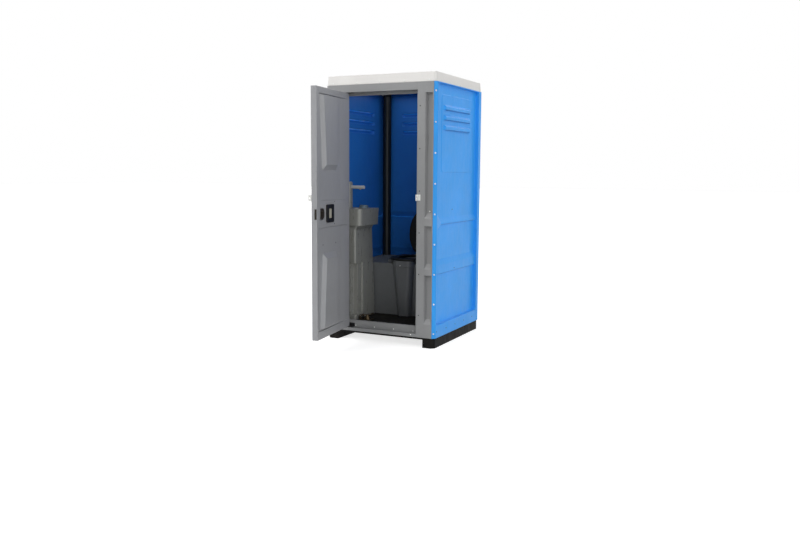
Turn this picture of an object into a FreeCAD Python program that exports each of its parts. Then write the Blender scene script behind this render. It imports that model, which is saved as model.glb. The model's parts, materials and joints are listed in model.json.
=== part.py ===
import FreeCAD, Part
import Sketcher
import math
import os

# Portable toilet cabin: a square moulded cabin on a skid base, with its door standing open.
# Frame: millimetres, X to the right, Y towards the rear, Z up, origin on the floor below the middle.
# The front and the three blue walls share one rule: each wall is drawn as if it were the front,
# its left end wraps round the corner to its left, and the blue ones are then turned into place.

SIZES = {
    # cabin
    "cabin_side": 1040,
    "corner_cut": 26,
    "sheet": 5,
    "wall_bottom": 86,
    "wall_top": 2192,
    "upstand": 46,
    "upstand_inset": 16,
    "lap_gap": 0.5,
    "flange_short": 9,
    # base
    "runner_width": 104,
    "runner_height": 70,
    "base_inset": 8,
    "base_skin": 5,
    "floor_height": 160,
    "anchor_hole": 14,
    "anchor_span": 860,
    "anchor_deep": 50,
    "runner_side": 14,
    "runner_sheet": 8,
    "runner_end": 60,
    "pallet_side": 20,
    "floor_corner": 40,
    # pressed fields of the blue walls
    "field_left_in": 36,
    "field_right_in": 82,
    "field_bottom": 190,
    "field_depth": 32,
    "field_draft": 5,
    "field_corner": 28,
    "mid_band_low": 1026,
    "mid_band_high": 1086,
    "low_band_low": 612,
    "low_band_high": 738,
    "band_raise": 14,
    "band_edge": 6,
    "mid_band_slope": 40,
    "low_band_slope": 48,
    "flare_length": 120,
    "flare_rise": 31,
    "panel_left_in": 138,
    "panel_right_in": 54,
    "panel_low": 1463,
    "panel_high": 2105,
    "panel_raise": 2.5,
    "panel_corner": 45,
    "louvre_left_in": 35,
    "louvre_right_in": 98,
    "louvre_top": 2024,
    "louvre_rise": 46,
    "louvre_pitch": 82,
    "louvre_raise": 18,
    "louvre_slot": 11,
    "louvre_wall": 4,
    "louvre_end": 24,
    "louvre_under": 3,
    "louvre_nose": 30,
    "louvre_round": 7,
    "band_screw_left": 62,
    "band_screw_up": 25,
    "mark_left": 91,
    "mark_up": 60,
    # roof
    "roof_inset": 6,
    "roof_sheet": 5,
    "roof_edge": 78,
    "roof_crown": 30,
    "roof_draft": 5,
    "roof_corner": 26,
    "roof_shoulder": 12,
    "crown_flat": 420,
    # front posts
    "post_depth": 38,
    "pocket_depth": 30,
    "pocket_edge": 10,
    "pocket_ramp": 46,
    "pocket_draft": 10,
    "pocket_top_draft": 6,
    "pocket_1_low": 1086,
    "pocket_1_high": 2104,
    "pocket_2_low": 665,
    "pocket_2_high": 1022,
    "pocket_3_low": 203,
    "pocket_3_high": 613,
    # door frame
    "post_left": 78,
    "post_right": 84,
    "jamb_left": 59,
    "jamb_right": 61,
    "opening_bottom": 114,
    "opening_top": 2129,
    "rebate_depth": 52,
    "stop_width": 25,
    "stop_thick": 22,
    "sill_top": 172,
    "strike_deep": 30,
    "strike_room": 3,
    "strike_sheet": 1.5,
    "strike_near": 8,
    "strike_far": 6,
    "strike_end": 16,
    # door leaf
    "door_angle": 82,
    "leaf_thick": 48,
    "leaf_gap": 3,
    "leaf_bottom": 120,
    "leaf_top": 2123,
    "leaf_skin": 4.5,
    "swell_ramp": 45,
    "swell_lip": 6,
    "rim_top": 50,
    "rim_bottom": 66,
    "rim_side_high": 46,
    "rim_side_low": 20,
    "rim_hinge_side": 34,
    "rim_ramp_end": 180,
    "rim_depth": 10,
    "rim_corner": 42,
    "lock_low": 1017,
    "lock_high": 1232,
    "swell_hinge_side": 275,
    "swell_far_in": 72,
    "swell_height": 29,
    "swell_high_top": 2068,
    "swell_high_end": 1474,
    "swell_low_top": 808,
    "swell_low_end": 196,
    "pivot_pin": 7,
    "pivot_fit": 0.05,
    "pin_reach": 45,
    "pin_seat": 24,
    "pin_clear": 28,
    "pivot_plate": 42,
    "pivot_lug": 32,
    "pivot_sheet": 3,
    "pivot_collar": 12,
    "leaf_screw_1_in": 354,
    "leaf_screw_1_z": 1220,
    "leaf_screw_2_in": 348,
    "leaf_screw_2_z": 1039,
    "leaf_screw_3_in": 402,
    "leaf_screw_3_z": 876,
    "leaf_screw_4_in": 135,
    "leaf_screw_4_z": 878,
    # latch
    "latch_centre": 1128,
    "latch_rise": 82,
    "latch_depth": 20,
    "latch_length": 172,
    "latch_travel": 22,
    "latch_fit": 0.5,
    "latch_inset": 4,
    "rib_margin": 8,
    "rib_width": 14,
    "rib_proud": 8,
    "handle_near_in": 316,
    "handle_far_in": 175,
    "handle_rise": 145,
    "handle_proud": 12,
    "grip_near_in": 266,
    "grip_far_in": 213,
    "grip_rise": 78,
    "grip_room": 4,
    "grip_deep": 20,
    "window_near_in": 154,
    "window_far_in": 60,
    "disc_radius": 24,
    "disc_stub": 4,
    "disc_thick": 3,
    "stub_length": 12,
    "outer_plate": 4,
    "outer_half": 48,
    "outer_rise": 124,
    "sight_half": 13,
    "sight_low": 6,
    "sight_high": 18,
    "pull_proud": 34,
    "pull_width": 22,
    "pull_bar": 12,
    "pull_rise": 150,
    "pull_foot": 20,
    # hasps
    "hasp_centre": 1256,
    "hasp_rise": 50,
    "hasp_leg": 30,
    "hasp_sheet": 3,
    "hasp_hole": 6,
    "hasp_hole_out": 18,
    "hasp_rivet_pitch": 30,
    "hasp_rivet_in": 9,
    # waste tank and seat
    "tank_wall": 7,
    "tank_front": 36,
    "tank_room": 7,
    "tank_taper": 25,
    "tank_draft": 14,
    "bulge_corner": 55,
    "tank_rim_front": 637,
    "tank_rim_rear": 657,
    "rim_rise": 25,
    "rim_proud": 6,
    "bulge_half_top": 105,
    "bulge_half_foot": 68,
    "bulge_front_top": 85,
    "bulge_front_foot": 52,
    "platform_top": 668,
    "platform_half": 185,
    "platform_front": 20,
    "platform_rear": 385,
    "tank_screw_left": 12,
    "tank_screw_down": 11,
    "bowl_radius": 105,
    "seat_hole_in": 2,
    "bowl_centre": 92,
    "bowl_length": 90,
    "seat_half": 178,
    "seat_thick": 21,
    "seat_front": 92,
    "seat_rear": 322,
    "seat_axis_back": 345,
    "lid_half": 150,
    "lid_reach": 222,
    "lid_heel": 8,
    "lid_thick": 11,
    "lid_angle": 100,
    "hinge_pin": 5,
    "knuckle": 9.5,
    "hinge_fit": 0.05,
    "knuckle_width": 20,
    "seat_tab": 78,
    "arm_in": 12,
    "arm_thick": 10,
    "lid_rear": 325,
    "lid_tongue": 27,
    "knuckle_gap": 2,
    "axis_down": 10.5,
    "rim_round_ratio": 0.3,
    "lid_gap": 0.5,
    "bracket_width": 16,
    "bracket_half": 11,
    "bracket_top": 8,
    "pin_spare": 4,
    # wash stand
    "stand_room": 1,
    "stand_face": 302,
    "stand_front": 390,
    "stand_rear": 76,
    "stand_flare": 6,
    "stand_spread": 50,
    "stand_skin": 5,
    "basin_low": 992,
    "basin_top": 1141,
    "basin_face": 234,
    "basin_front": 415,
    "basin_rear": 70,
    "basin_tuck": 6,
    "collar_rise_stand": 34,
    "collar_out": 22,
    "bowl_wall": 20,
    "bowl_deep": 112,
    "bowl_front": 393,
    "bowl_rear": 208,
    "niche_low": 198,
    "niche_high": 660,
    "niche_front_deep": 50,
    "niche_front_wide": 45,
    "niche_side_deep": 8,
    "niche_side_wide": 129,
    "stand_corner": 14,
    "basin_corner": 38,
    "bowl_corner": 28,
    "bowl_draft": 16,
    "drain_radius": 18,
    "drain_sheet": 3,
    "tower_face": 404,
    "tower_top": 1377,
    "tower_front": 305,
    "tower_rear": 245,
    "spout_down": 49,
    "spout_radius": 15,
    "spout_reach": 128,
    "nozzle_radius": 6,
    "nozzle_drop": 6,
    "nozzle_in": 42,
    "tower_corner": 16,
    "cap_radius": 40,
    "cap_rise": 22,
    "cap_wall": 4,
    "neck_wall": 5,
    "cap_grip": 8,
    "cap_along": 350,
    "cap_back": 150,
    # foot pump
    "pump_along": 205,
    "pump_front_in": 175,
    "pump_plate": 6,
    "barrel_radius": 26,
    "barrel_rise": 22,
    "plunger_radius": 16,
    "plunger_rise": 20,
    "ear_sheet": 4,
    "ear_half": 8,
    "pump_margin": 22,
    "outlet_radius": 5,
    "outlet_up": 9,
    "pedal_toe": 10,
    "pedal_reach": 110,
    "pedal_width": 46,
    "pedal_sheet": 3,
    "pedal_tilt": 10,
    "pedal_arm": 57,
    "pedal_height": 36,
    "pedal_pin": 3,
    # vent
    "vent_radius": 38,
    "vent_wall": 3,
    "vent_side_in": 68,
    "vent_rear_in": 43,
    "vent_rise": 52,
    "vent_hood": 62,
    "vent_room": 1,
    "vent_gap": 18,
    "vent_boss": 3,
    "collar_wall": 4,
    "collar_rise": 24,
    "collar_foot": 6,
    # fasteners
    "rivet_radius": 7,
    "rivet_rise": 3,
    "rivet_pitch": 249,
    "rivet_top": 2118,
    "roof_rivet_rise": 14,
    "roof_rivet_pitch": 224,
    "sill_rivet_in": 103,
    "sill_rivet_out": 48,
    "post_rivet": 44,
    "post_rivet_up": 12,
    "sill_rivet_up": 12,
    "lip_rivet_in": 47,
    "lip_rivet_down": 10,
    "small_rivet_radius": 5.6,
    "screw_radius": 5,
    "screw_rise": 2,
    "frame_screw_in": 24,
    "frame_screw_low": 275,
    "frame_screw_pitch": 345,
    "foot_screw_in": 47,
    "foot_screw_pitch": 204,
    "foot_screw_height": 140,
}

RIVET_ROWS = 9
ROOF_RIVETS = 5
SILL_RIVETS = 4
FOOT_SCREWS = 5
FRAME_SCREWS = 6
LOUVRES = 3
VENT_LENGTHS = 4
SQUARE_TURN = 90
LEAN_TURN = 5.4
TOUCH = 0.3
HEAD_TOP_RATIO = 0.6
UPRIGHT_RATIO = 0.9
SLANT_RATIO = 0.3
OVER = 1

doc = FreeCAD.newDocument("portable_toilet_cabin")
sheet_table = doc.addObject("Spreadsheet::Sheet", "Sizes")
for row, (alias, number) in enumerate(SIZES.items(), start=1):
    sheet_table.set("A%d" % row, alias)
    sheet_table.set("B%d" % row, str(number))
    sheet_table.setAlias("B%d" % row, alias)
doc.recompute()


class Size:
    """A size of the cabin: its present value and the rule that ties it to the table of sizes."""

    def __init__(self, value, rule):
        self.value = value
        self.rule = rule

    def __add__(self, other):
        return Size(self.value + amount(other), "(%s + %s)" % (self.rule, wording(other)))

    def __sub__(self, other):
        return Size(self.value - amount(other), "(%s - %s)" % (self.rule, wording(other)))

    def __mul__(self, other):
        return Size(self.value * amount(other), "(%s * %s)" % (self.rule, wording(other)))

    def __truediv__(self, other):
        return Size(self.value / amount(other), "(%s / %s)" % (self.rule, wording(other)))

    def __radd__(self, other):
        return Size(amount(other) + self.value, "(%s + %s)" % (wording(other), self.rule))

    def __rsub__(self, other):
        return Size(amount(other) - self.value, "(%s - %s)" % (wording(other), self.rule))

    def __neg__(self):
        return Size(-self.value, "(-1 * %s)" % self.rule)

    __rmul__ = __mul__


def amount(size):
    return size.value if isinstance(size, Size) else float(size)


def wording(size):
    return size.rule if isinstance(size, Size) else "(%r)" % float(size)


class Table:
    """Every size of the table by its name, ready to be used in a formula."""

    def __getattr__(self, name):
        return Size(float(sheet_table.get(name)), "Sizes." + name)


S = Table()
HALF = S.cabin_side / 2
sub_parts = []


def bind(item, prop, size):
    item.setExpression(prop, wording(size))


def place(item, x=0, y=0, z=0):
    for axis, size in (("x", x), ("y", y), ("z", z)):
        bind(item, "Placement.Base." + axis, size)


def block(name, x, y, z):
    """A plain block between two limits along each axis."""
    item = doc.addObject("Part::Box", name)
    for prop, (low, high) in (("Length", x), ("Width", y), ("Height", z)):
        bind(item, prop, high - low)
    place(item, x[0], y[0], z[0])
    return item


def wedge_limits(item, limits):
    for prop, size in limits.items():
        bind(item, prop, size)


def pressing(name, x, y, z, x_deep, z_deep):
    """A drafted block: x by z at the first y, and x_deep by z_deep at the second."""
    item = doc.addObject("Part::Wedge", name)
    wedge_limits(item, {"Xmin": x[0], "Xmax": x[1], "Ymin": y[0], "Ymax": y[1], "Zmin": z[0],
                        "Zmax": z[1], "X2min": x_deep[0], "X2max": x_deep[1],
                        "Z2min": z_deep[0], "Z2max": z_deep[1]})
    return item


def tapered(name, x, y, z, x_top, y_top):
    """A block that stands up and tapers: x by y at the foot, and x_top by y_top at the top."""
    item = doc.addObject("Part::Wedge", name)
    wedge_limits(item, {"Xmin": x[0], "Xmax": x[1], "Ymin": z[0], "Ymax": z[1],
                        "Zmin": -1 * y[1], "Zmax": -1 * y[0], "X2min": x_top[0], "X2max": x_top[1],
                        "Z2min": -1 * y_top[1], "Z2max": -1 * y_top[0]})
    upright = FreeCAD.Rotation(FreeCAD.Vector(1, 0, 0), SQUARE_TURN)
    item.Placement = FreeCAD.Placement(FreeCAD.Vector(), upright)
    return item


AXES = {"x": FreeCAD.Rotation(FreeCAD.Vector(0, 1, 0), SQUARE_TURN),
        "y": FreeCAD.Rotation(FreeCAD.Vector(1, 0, 0), -SQUARE_TURN),
        "z": FreeCAD.Rotation(),
        "out": FreeCAD.Rotation(FreeCAD.Vector(1, 0, 0), SQUARE_TURN)}


SWELL_LEAN = {way: FreeCAD.Rotation(FreeCAD.Vector(0, 1, 0), LEAN_TURN * way)
              * FreeCAD.Rotation(FreeCAD.Vector(0, 0, 1), SQUARE_TURN / 2) for way in (1, -1)}


def round_bar(name, radius, length, x, y, z, axis="z"):
    item = doc.addObject("Part::Cylinder", name)
    bind(item, "Radius", radius)
    bind(item, "Height", length)
    item.Placement = FreeCAD.Placement(FreeCAD.Vector(), AXES[axis])
    place(item, x, y, z)
    return item


def head(name, radius, rise, x, y, z, axis="out"):
    """The low domed head of a rivet or a screw, standing on a face."""
    item = doc.addObject("Part::Cone", name)
    bind(item, "Radius1", radius)
    bind(item, "Radius2", radius * HEAD_TOP_RATIO)
    bind(item, "Height", rise)
    item.Placement = FreeCAD.Placement(FreeCAD.Vector(), AXES[axis])
    place(item, x, y, z)
    return item


def fuse(name, items):
    item = doc.addObject("Part::MultiFuse", name)
    item.Shapes = items
    item.Refine = True
    return item


def cut(name, base, tools):
    tool = tools[0] if len(tools) == 1 else fuse(name + "_tools", tools)
    item = doc.addObject("Part::Cut", name)
    item.Base = base
    item.Tool = tool
    item.Refine = True
    return item


def group(name, items):
    item = doc.addObject("Part::Compound", name)
    item.Links = items
    return item


def rounded(name, base, radius, chosen):
    """The same solid with a radius on each edge that the rule picks."""
    doc.recompute()
    edges = [(number, amount(radius), amount(radius))
             for number, edge in enumerate(base.Shape.Edges, start=1) if chosen(edge)]
    item = doc.addObject("Part::Fillet", name)
    item.Base = base
    item.Edges = edges
    return item


def spans(edge, axis, least=0.5):
    """How far an edge runs along one axis, as a share of its length."""
    ends = [vertex.Point for vertex in edge.Vertexes]
    if len(ends) < 2:
        return False
    return abs(getattr(ends[1] - ends[0], axis)) > least * edge.Length


def finish(item, label):
    item.Label = label
    sub_parts.append(item)
    return item


def turn(item, quarter):
    """Carries a wall drawn as the front to its own side: 1 right, 2 rear, 3 left."""
    about_z = FreeCAD.Rotation(FreeCAD.Vector(0, 0, 1), SQUARE_TURN * quarter)
    item.Placement = FreeCAD.Placement(FreeCAD.Vector(), about_z)


class Outline:
    """A closed outline drawn on one of a body's own planes and tied to the table of sizes."""

    def __init__(self, body, role, offset, name):
        self.sketch = body.newObject("Sketcher::SketchObject", name)
        plane = [f for f in body.Origin.OriginFeatures if f.Role == role][0]
        self.sketch.AttachmentSupport = [(plane, "")]
        self.sketch.MapMode = "FlatFace"
        bind(self.sketch, "AttachmentOffset.Base.z", offset)

    def join(self, line, following):
        self.sketch.addConstraint(Sketcher.Constraint("Coincident", line, 2, following, 1))

    def hold(self, line, end, axis, size):
        """Ties one point of a line to its distance from the origin."""
        rule = Sketcher.Constraint("Distance" + axis, -1, 1, line, end, amount(size))
        number = self.sketch.addConstraint(rule)
        bind(self.sketch, "Constraints[%d]" % number, size)

    def polygon(self, points):
        corners = [FreeCAD.Vector(amount(a), amount(b), 0) for a, b in points]
        count = len(points)
        for number in range(count):
            stretch = Part.LineSegment(corners[number], corners[(number + 1) % count])
            self.sketch.addGeometry(stretch, False)
        for number in range(count):
            self.join(number, (number + 1) % count)
            self.hold(number, 1, "X", points[number][0])
            self.hold(number, 1, "Y", points[number][1])
        return self.sketch

    def arch(self, half, middle, square_end):
        """A half round end towards the front and a square end towards the rear."""
        corners = [(half, middle), (half, square_end), (-half, square_end), (-half, middle)]
        points = [FreeCAD.Vector(amount(a), amount(b), 0) for a, b in corners]
        for number in range(3):
            self.sketch.addGeometry(Part.LineSegment(points[number], points[number + 1]), False)
        centre = FreeCAD.Vector(0, amount(middle), 0)
        circle = Part.Circle(centre, FreeCAD.Vector(0, 0, 1), amount(half))
        arc = self.sketch.addGeometry(Part.ArcOfCircle(circle, math.pi, 2 * math.pi), False)
        self.join(0, 1)
        self.join(1, 2)
        self.join(2, arc)
        self.join(arc, 0)
        for number in range(3):
            self.hold(number, 1, "X", corners[number][0])
            self.hold(number, 1, "Y", corners[number][1])
        self.hold(2, 2, "X", corners[3][0])
        self.hold(2, 2, "Y", corners[3][1])
        self.hold(arc, 3, "Y", middle)
        return self.sketch


def new_body(name):
    return doc.addObject("PartDesign::Body", name)


def pad(body, sketch, length, taper=0):
    item = body.newObject("PartDesign::Pad", sketch.Name + "_pad")
    item.Profile = sketch
    bind(item, "Length", length)
    if taper:
        item.TaperAngle = taper
    body.Tip = item
    return item


def pocket(body, sketch):
    """Cuts the outline through everything above its plane."""
    item = body.newObject("PartDesign::Pocket", sketch.Name + "_cut")
    item.Profile = sketch
    item.Type = "ThroughAll"
    item.Reversed = True
    body.Tip = item
    return item


def soften(body, base, radius, names):
    item = body.newObject("PartDesign::Fillet", base.Name + "_round")
    item.Base = (base, names)
    bind(item, "Radius", radius)
    body.Tip = item
    return item


def slab(name, points, z):
    """A flat body with the given outline between two heights."""
    body = new_body(name)
    sketch = Outline(body, "XY_Plane", z[0], name + "_outline").polygon(points)
    pad(body, sketch, z[1] - z[0])
    return body


def octagon(half, corner):
    inner = half - corner
    return [(inner, -half), (half, -inner), (half, inner), (inner, half),
            (-inner, half), (-half, inner), (-half, -inner), (-inner, -half)]


# Shared levels and lines of the cabin
front = -HALF
plate_back = front + S.sheet
field_floor = front + S.field_depth
field_inner = field_floor + S.sheet
wall_end = HALF - S.corner_cut
lap = S.sheet * math.sqrt(2)
sill_floor = S.floor_height
room_half = -field_inner

# The fields, panels and louvres of a wall, from its middle line
field_left = HALF - S.field_left_in
field_right = HALF - S.field_right_in
panel_left = field_left - S.panel_left_in
panel_right = field_right - S.panel_right_in
louvre_left = panel_left - S.louvre_left_in
louvre_right = panel_right - S.louvre_right_in

# The posts and jambs, and what stands against the walls inside, from the cabin's middle
frame_left = wall_end - S.post_left
frame_right = wall_end - S.post_right
opening_left = frame_left - S.jamb_left
opening_right = frame_right - S.jamb_right
tank_half = room_half - S.tank_room
stand_back = room_half - S.stand_room
vent_along = room_half - S.vent_side_in
vent_back = room_half - S.vent_rear_in
vent_top = S.wall_top + S.roof_edge + S.vent_rise


def corner_band(name):
    """The strip that wraps round the corner at the left end of a wall."""
    points = [(-wall_end, front), (-HALF, -wall_end), (lap - HALF, -wall_end),
              (lap - wall_end - S.sheet, plate_back)]
    return slab(name, points, (S.wall_bottom, S.wall_top))


def corner_flange(name):
    """The hidden flange at the right end of a wall, which the next wall's band is riveted to."""
    run = S.corner_cut - S.sheet - S.flange_short
    start = wall_end + S.sheet - lap - S.lap_gap
    points = [(start - lap, plate_back), (start, plate_back), (start + run, plate_back + run),
              (start + run, plate_back + run + lap)]
    return slab(name, points, (S.wall_bottom, S.wall_top))


def upstand(name, left, right):
    """The ledge and the lip at the top of a wall, which the roof sits over."""
    ledge = block(name + "_ledge", (left, right), (plate_back, front + S.upstand_inset + S.sheet),
                  (S.wall_top - S.sheet, S.wall_top))
    lip = block(name + "_lip", (left, right),
                (front + S.upstand_inset, front + S.upstand_inset + S.sheet),
                (S.wall_top - S.sheet, S.wall_top + S.upstand))
    return [ledge, lip]


def louvre(name, number):
    """One hood: its shell outside, its hollow inside and the slot below it."""
    top = S.louvre_top - S.louvre_pitch * number
    foot = top - S.louvre_rise
    left = -louvre_left
    right = louvre_right
    end = S.louvre_end
    wall = S.louvre_wall
    crest = field_floor - S.louvre_raise

    def upper_edge(edge):
        middle = edge.CenterOfMass
        return middle.y < amount(crest) + OVER and middle.z > amount(foot + S.louvre_nose) - OVER

    hood = rounded(name + "_hood", pressing(name + "_hood_block", (left + end, right - end),
                                            (crest, field_floor),
                                            (foot + S.louvre_under, foot + S.louvre_nose),
                                            (left, right), (foot, top)),
                   S.louvre_round, upper_edge)
    hollow = pressing(name + "_hollow", (left + end + wall, right - end - wall),
                      (crest + wall, field_inner),
                      (foot + S.louvre_under + wall, foot + S.louvre_nose - wall / 2),
                      (left + wall * 2, right - wall * 2), (foot + wall, top - wall * 1.5))
    slot = block(name + "_slot", (left + end + wall * 1.5, right - end - wall * 1.5),
                 (crest + wall, crest + wall + S.louvre_slot),
                 (foot - wall, foot + S.louvre_under + wall * 2))
    return hood, hollow, slot


def band(name, low, high, slope, grow):
    """A raised band across the field: its outside, or its hollow when it shrinks by the sheet."""
    left = -field_left + S.field_draft
    right = field_right - S.field_draft
    return pressing(name, (left - grow, right + grow), (field_floor - S.band_raise + S.sheet - grow,
                                                         field_inner - grow),
                    (low - grow + S.band_edge, high + grow - slope),
                    (left - grow, right + grow), (low - grow, high + grow))


def flare(name, left):
    """The left end of the middle band, which widens and rises to the edge of the field."""
    item = doc.addObject("Part::Wedge", name)
    near = -1 * field_floor
    far = -1 * (field_floor - S.band_raise)
    wedge_limits(item, {"Xmin": near, "Xmax": HALF, "Ymin": left, "Ymax": left + S.flare_length,
                        "Zmin": S.mid_band_low - S.flare_rise, "Zmax": S.mid_band_high + S.flare_rise,
                        "X2min": near, "X2max": far, "Z2min": S.mid_band_low + S.band_edge,
                        "Z2max": S.mid_band_high - S.mid_band_slope})
    item.Placement = FreeCAD.Placement(FreeCAD.Vector(),
                                       FreeCAD.Rotation(FreeCAD.Vector(0, 0, 1), -SQUARE_TURN))
    return item


def pressed_wall(label, quarter):
    """A blue wall: a sheet pressed inwards into one large field with bands and louvres in it."""
    name = label + "_sheet"
    plate = block(name + "_plate", (-wall_end, wall_end - S.lap_gap), (front, plate_back),
                  (S.wall_bottom, S.wall_top))
    left = -field_left
    right = field_right
    low = S.field_bottom
    high = S.wall_top - S.sheet
    draft = S.field_draft
    wall = S.sheet
    tray = rounded(name + "_tray", pressing(name + "_tray_block", (left - wall, right + wall),
                                            (front + OVER, field_inner), (low - wall, high + wall),
                                            (left - wall + draft, right + wall - draft),
                                            (low - wall + draft, high + wall - draft)),
                   S.field_corner + S.sheet, lambda edge: spans(edge, "y"))
    field = rounded(name + "_field", pressing(name + "_field_block", (left, right),
                                              (front, field_floor), (low, high),
                                              (left + draft, right - draft),
                                              (low + draft, high - draft)),
                    S.field_corner, lambda edge: spans(edge, "y"))
    shell = cut(name + "_shell", fuse(name + "_solid", [plate, tray]), [field])
    hoods, hollows, slots = [], [], []
    for number in range(LOUVRES):
        hood, hollow, slot = louvre("%s_louvre_%d" % (name, number + 1), number)
        hoods.append(hood)
        hollows.append(hollow)
        slots.append(slot)
    inner_panel = rounded(name + "_panel",
                          pressing(name + "_panel_block",
                                   (S.panel_raise - panel_left, panel_right - S.panel_raise),
                                   (field_floor - S.panel_raise, field_floor + OVER),
                                   (S.panel_low + S.panel_raise, S.panel_high - S.panel_raise),
                                   (-panel_left, panel_right), (S.panel_low, S.panel_high)),
                          S.panel_corner, lambda edge: spans(edge, "y", SLANT_RATIO))
    bands, grooves = [], []
    for kind, grow, made in (("band", wall, bands), ("groove", 0, grooves)):
        made.append(band(name + "_mid_" + kind, S.mid_band_low + wall, S.mid_band_high - wall,
                         S.mid_band_slope, grow))
        made.append(band(name + "_low_" + kind, S.low_band_low + wall, S.low_band_high - wall,
                         S.low_band_slope, grow))
    raised = fuse(name + "_raised", [shell, inner_panel, flare(name + "_flare", left)] + hoods + bands)
    opened = cut(name + "_opened", raised, hollows + slots + grooves)
    item = fuse(name, [opened, corner_band(name + "_band"), corner_flange(name + "_flange")]
                + upstand(name + "_top", -wall_end, wall_end - S.lap_gap - S.upstand_inset))
    turn(item, quarter)
    return finish(item, label)


def front_post(label, left, right, wraps):
    """A grey post beside the door with three sunken pockets in its face."""
    name = label + "_solid"
    body = block(name + "_block", (left, right), (front, front + S.post_depth),
                 (S.wall_bottom, S.wall_top))
    edge = S.pocket_edge
    draft = S.pocket_draft
    tools = []
    levels = [(S.pocket_3_low, S.pocket_3_high), (S.pocket_2_low, S.pocket_2_high),
              (S.pocket_1_low, S.pocket_1_high)]
    for number, (low, high) in enumerate(levels, start=1):
        tools.append(pressing("%s_pocket_%d" % (name, number), (left + edge, right - edge),
                              (front, front + S.pocket_depth), (low, high),
                              (left + edge + draft, right - edge - draft),
                              (low + S.pocket_ramp, high - S.pocket_top_draft)))
    if not wraps:
        beside = -field_inner - S.lap_gap
        behind = -field_left - S.sheet - S.lap_gap * 2
        tools.append(block(name + "_clearance", (beside, right + OVER),
                           (behind, front + S.post_depth + OVER), (0, S.wall_top - S.sheet)))
    item = cut(name + "_cut", body, tools)
    extra = corner_band(name + "_band") if wraps else corner_flange(name + "_flange")
    item = fuse(name, [item, extra] + upstand(name + "_top", left, right))
    return finish(item, label)


# The middle line of the door's two pivots, and the leaf's length from it
leaf_half = S.leaf_thick / 2
pivot_x = S.leaf_gap + leaf_half - opening_left
pivot_y = front + leaf_half
leaf_end = opening_right - S.leaf_gap - pivot_x
window_near = leaf_end - S.window_near_in
window_far = leaf_end - S.window_far_in
handle_near = leaf_end - S.handle_near_in
handle_far = leaf_end - S.handle_far_in
grip_near = leaf_end - S.grip_near_in
grip_far = leaf_end - S.grip_far_in
swell_end = leaf_end - S.swell_far_in
stop_front = front + S.rebate_depth
stop_back = stop_front + S.stop_thick


def jamb(label, outer, opening, side, tools):
    """One side of the door frame: the reveal beside the leaf and the stop behind it."""
    name = label + "_solid"
    stop = opening - side * S.stop_width
    reveal_x = (opening, outer) if side > 0 else (outer, opening)
    stop_x = (stop, outer) if side > 0 else (outer, stop)
    reveal = block(name + "_reveal", reveal_x, (front, stop_front), (S.wall_bottom, S.wall_top))
    ledge = block(name + "_stop", stop_x, (stop_front, stop_back), (S.wall_bottom, S.wall_top))
    core_x = (reveal_x[0] + S.sheet, reveal_x[1] - S.sheet)
    core_y = (front + S.sheet, stop_front - S.sheet)
    lock = (S.latch_centre - S.latch_rise, S.latch_centre + S.latch_rise)
    cores = [block(name + "_core_low", core_x, core_y, (S.wall_bottom + S.sheet, lock[0])),
             block(name + "_core_high", core_x, core_y, (lock[1], S.wall_top - 2 * S.sheet)),
             block(name + "_core_stop", (stop_x[0] + S.sheet, stop_x[1] - S.sheet),
                   (stop_front + S.sheet, stop_back - S.sheet),
                   (S.wall_bottom + S.sheet, S.wall_top - S.sheet))]
    solid = fuse(name + "_whole", [reveal, ledge] + upstand(name + "_top", *reveal_x))
    return finish(cut(name, solid, cores + tools), label)


def door_frame():
    slot_y = (pivot_y - S.strike_room, pivot_y + S.latch_depth + S.strike_room)
    slot_z = (S.latch_centre - S.latch_rise / 2 - S.strike_room,
              S.latch_centre + S.latch_rise / 2 + S.strike_room)
    slot = block("strike_slot", (opening_right - OVER, opening_right + S.strike_deep),
                 slot_y, slot_z)
    jamb("latch_jamb", frame_right, opening_right, 1, [slot])
    jamb("hinge_jamb", -frame_left, -opening_left, -1, [])
    reach = (-opening_left, opening_right)
    stop = (S.stop_width - opening_left, opening_right - S.stop_width)
    rail = block("header_rail", reach, (front, stop_front), (S.opening_top, S.wall_top))
    rail_stop = block("header_stop", stop, (stop_front, stop_back),
                      (S.opening_top - S.stop_width, S.wall_top))
    rail_core = block("header_core", (S.pin_clear + S.leaf_thick - opening_left,
                                      opening_right - S.sheet),
                      (front + S.sheet, stop_front - S.sheet),
                      (S.opening_top + S.sheet, S.wall_top - 2 * S.sheet))
    pin_hole = round_bar("header_hole", S.pivot_pin + S.pivot_fit, S.pin_seat, pivot_x, pivot_y,
                         S.opening_top)
    header = fuse("header_whole", [rail, rail_stop] + upstand("header_top", *reach))
    finish(cut("header_solid", header, [rail_core, pin_hole]), "door_header")
    lip = block("sill_lip", reach, (front, stop_front), (S.wall_bottom, S.opening_bottom))
    riser = block("sill_riser", stop, (stop_front, stop_back), (S.wall_bottom, S.sill_top))
    lip_hole = round_bar("sill_hole", S.pivot_pin + S.pivot_fit, S.pin_seat, pivot_x, pivot_y,
                         S.opening_bottom - S.pin_seat)
    finish(cut("sill_solid", fuse("sill_whole", [lip, riser]), [lip_hole]), "door_sill")


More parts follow.
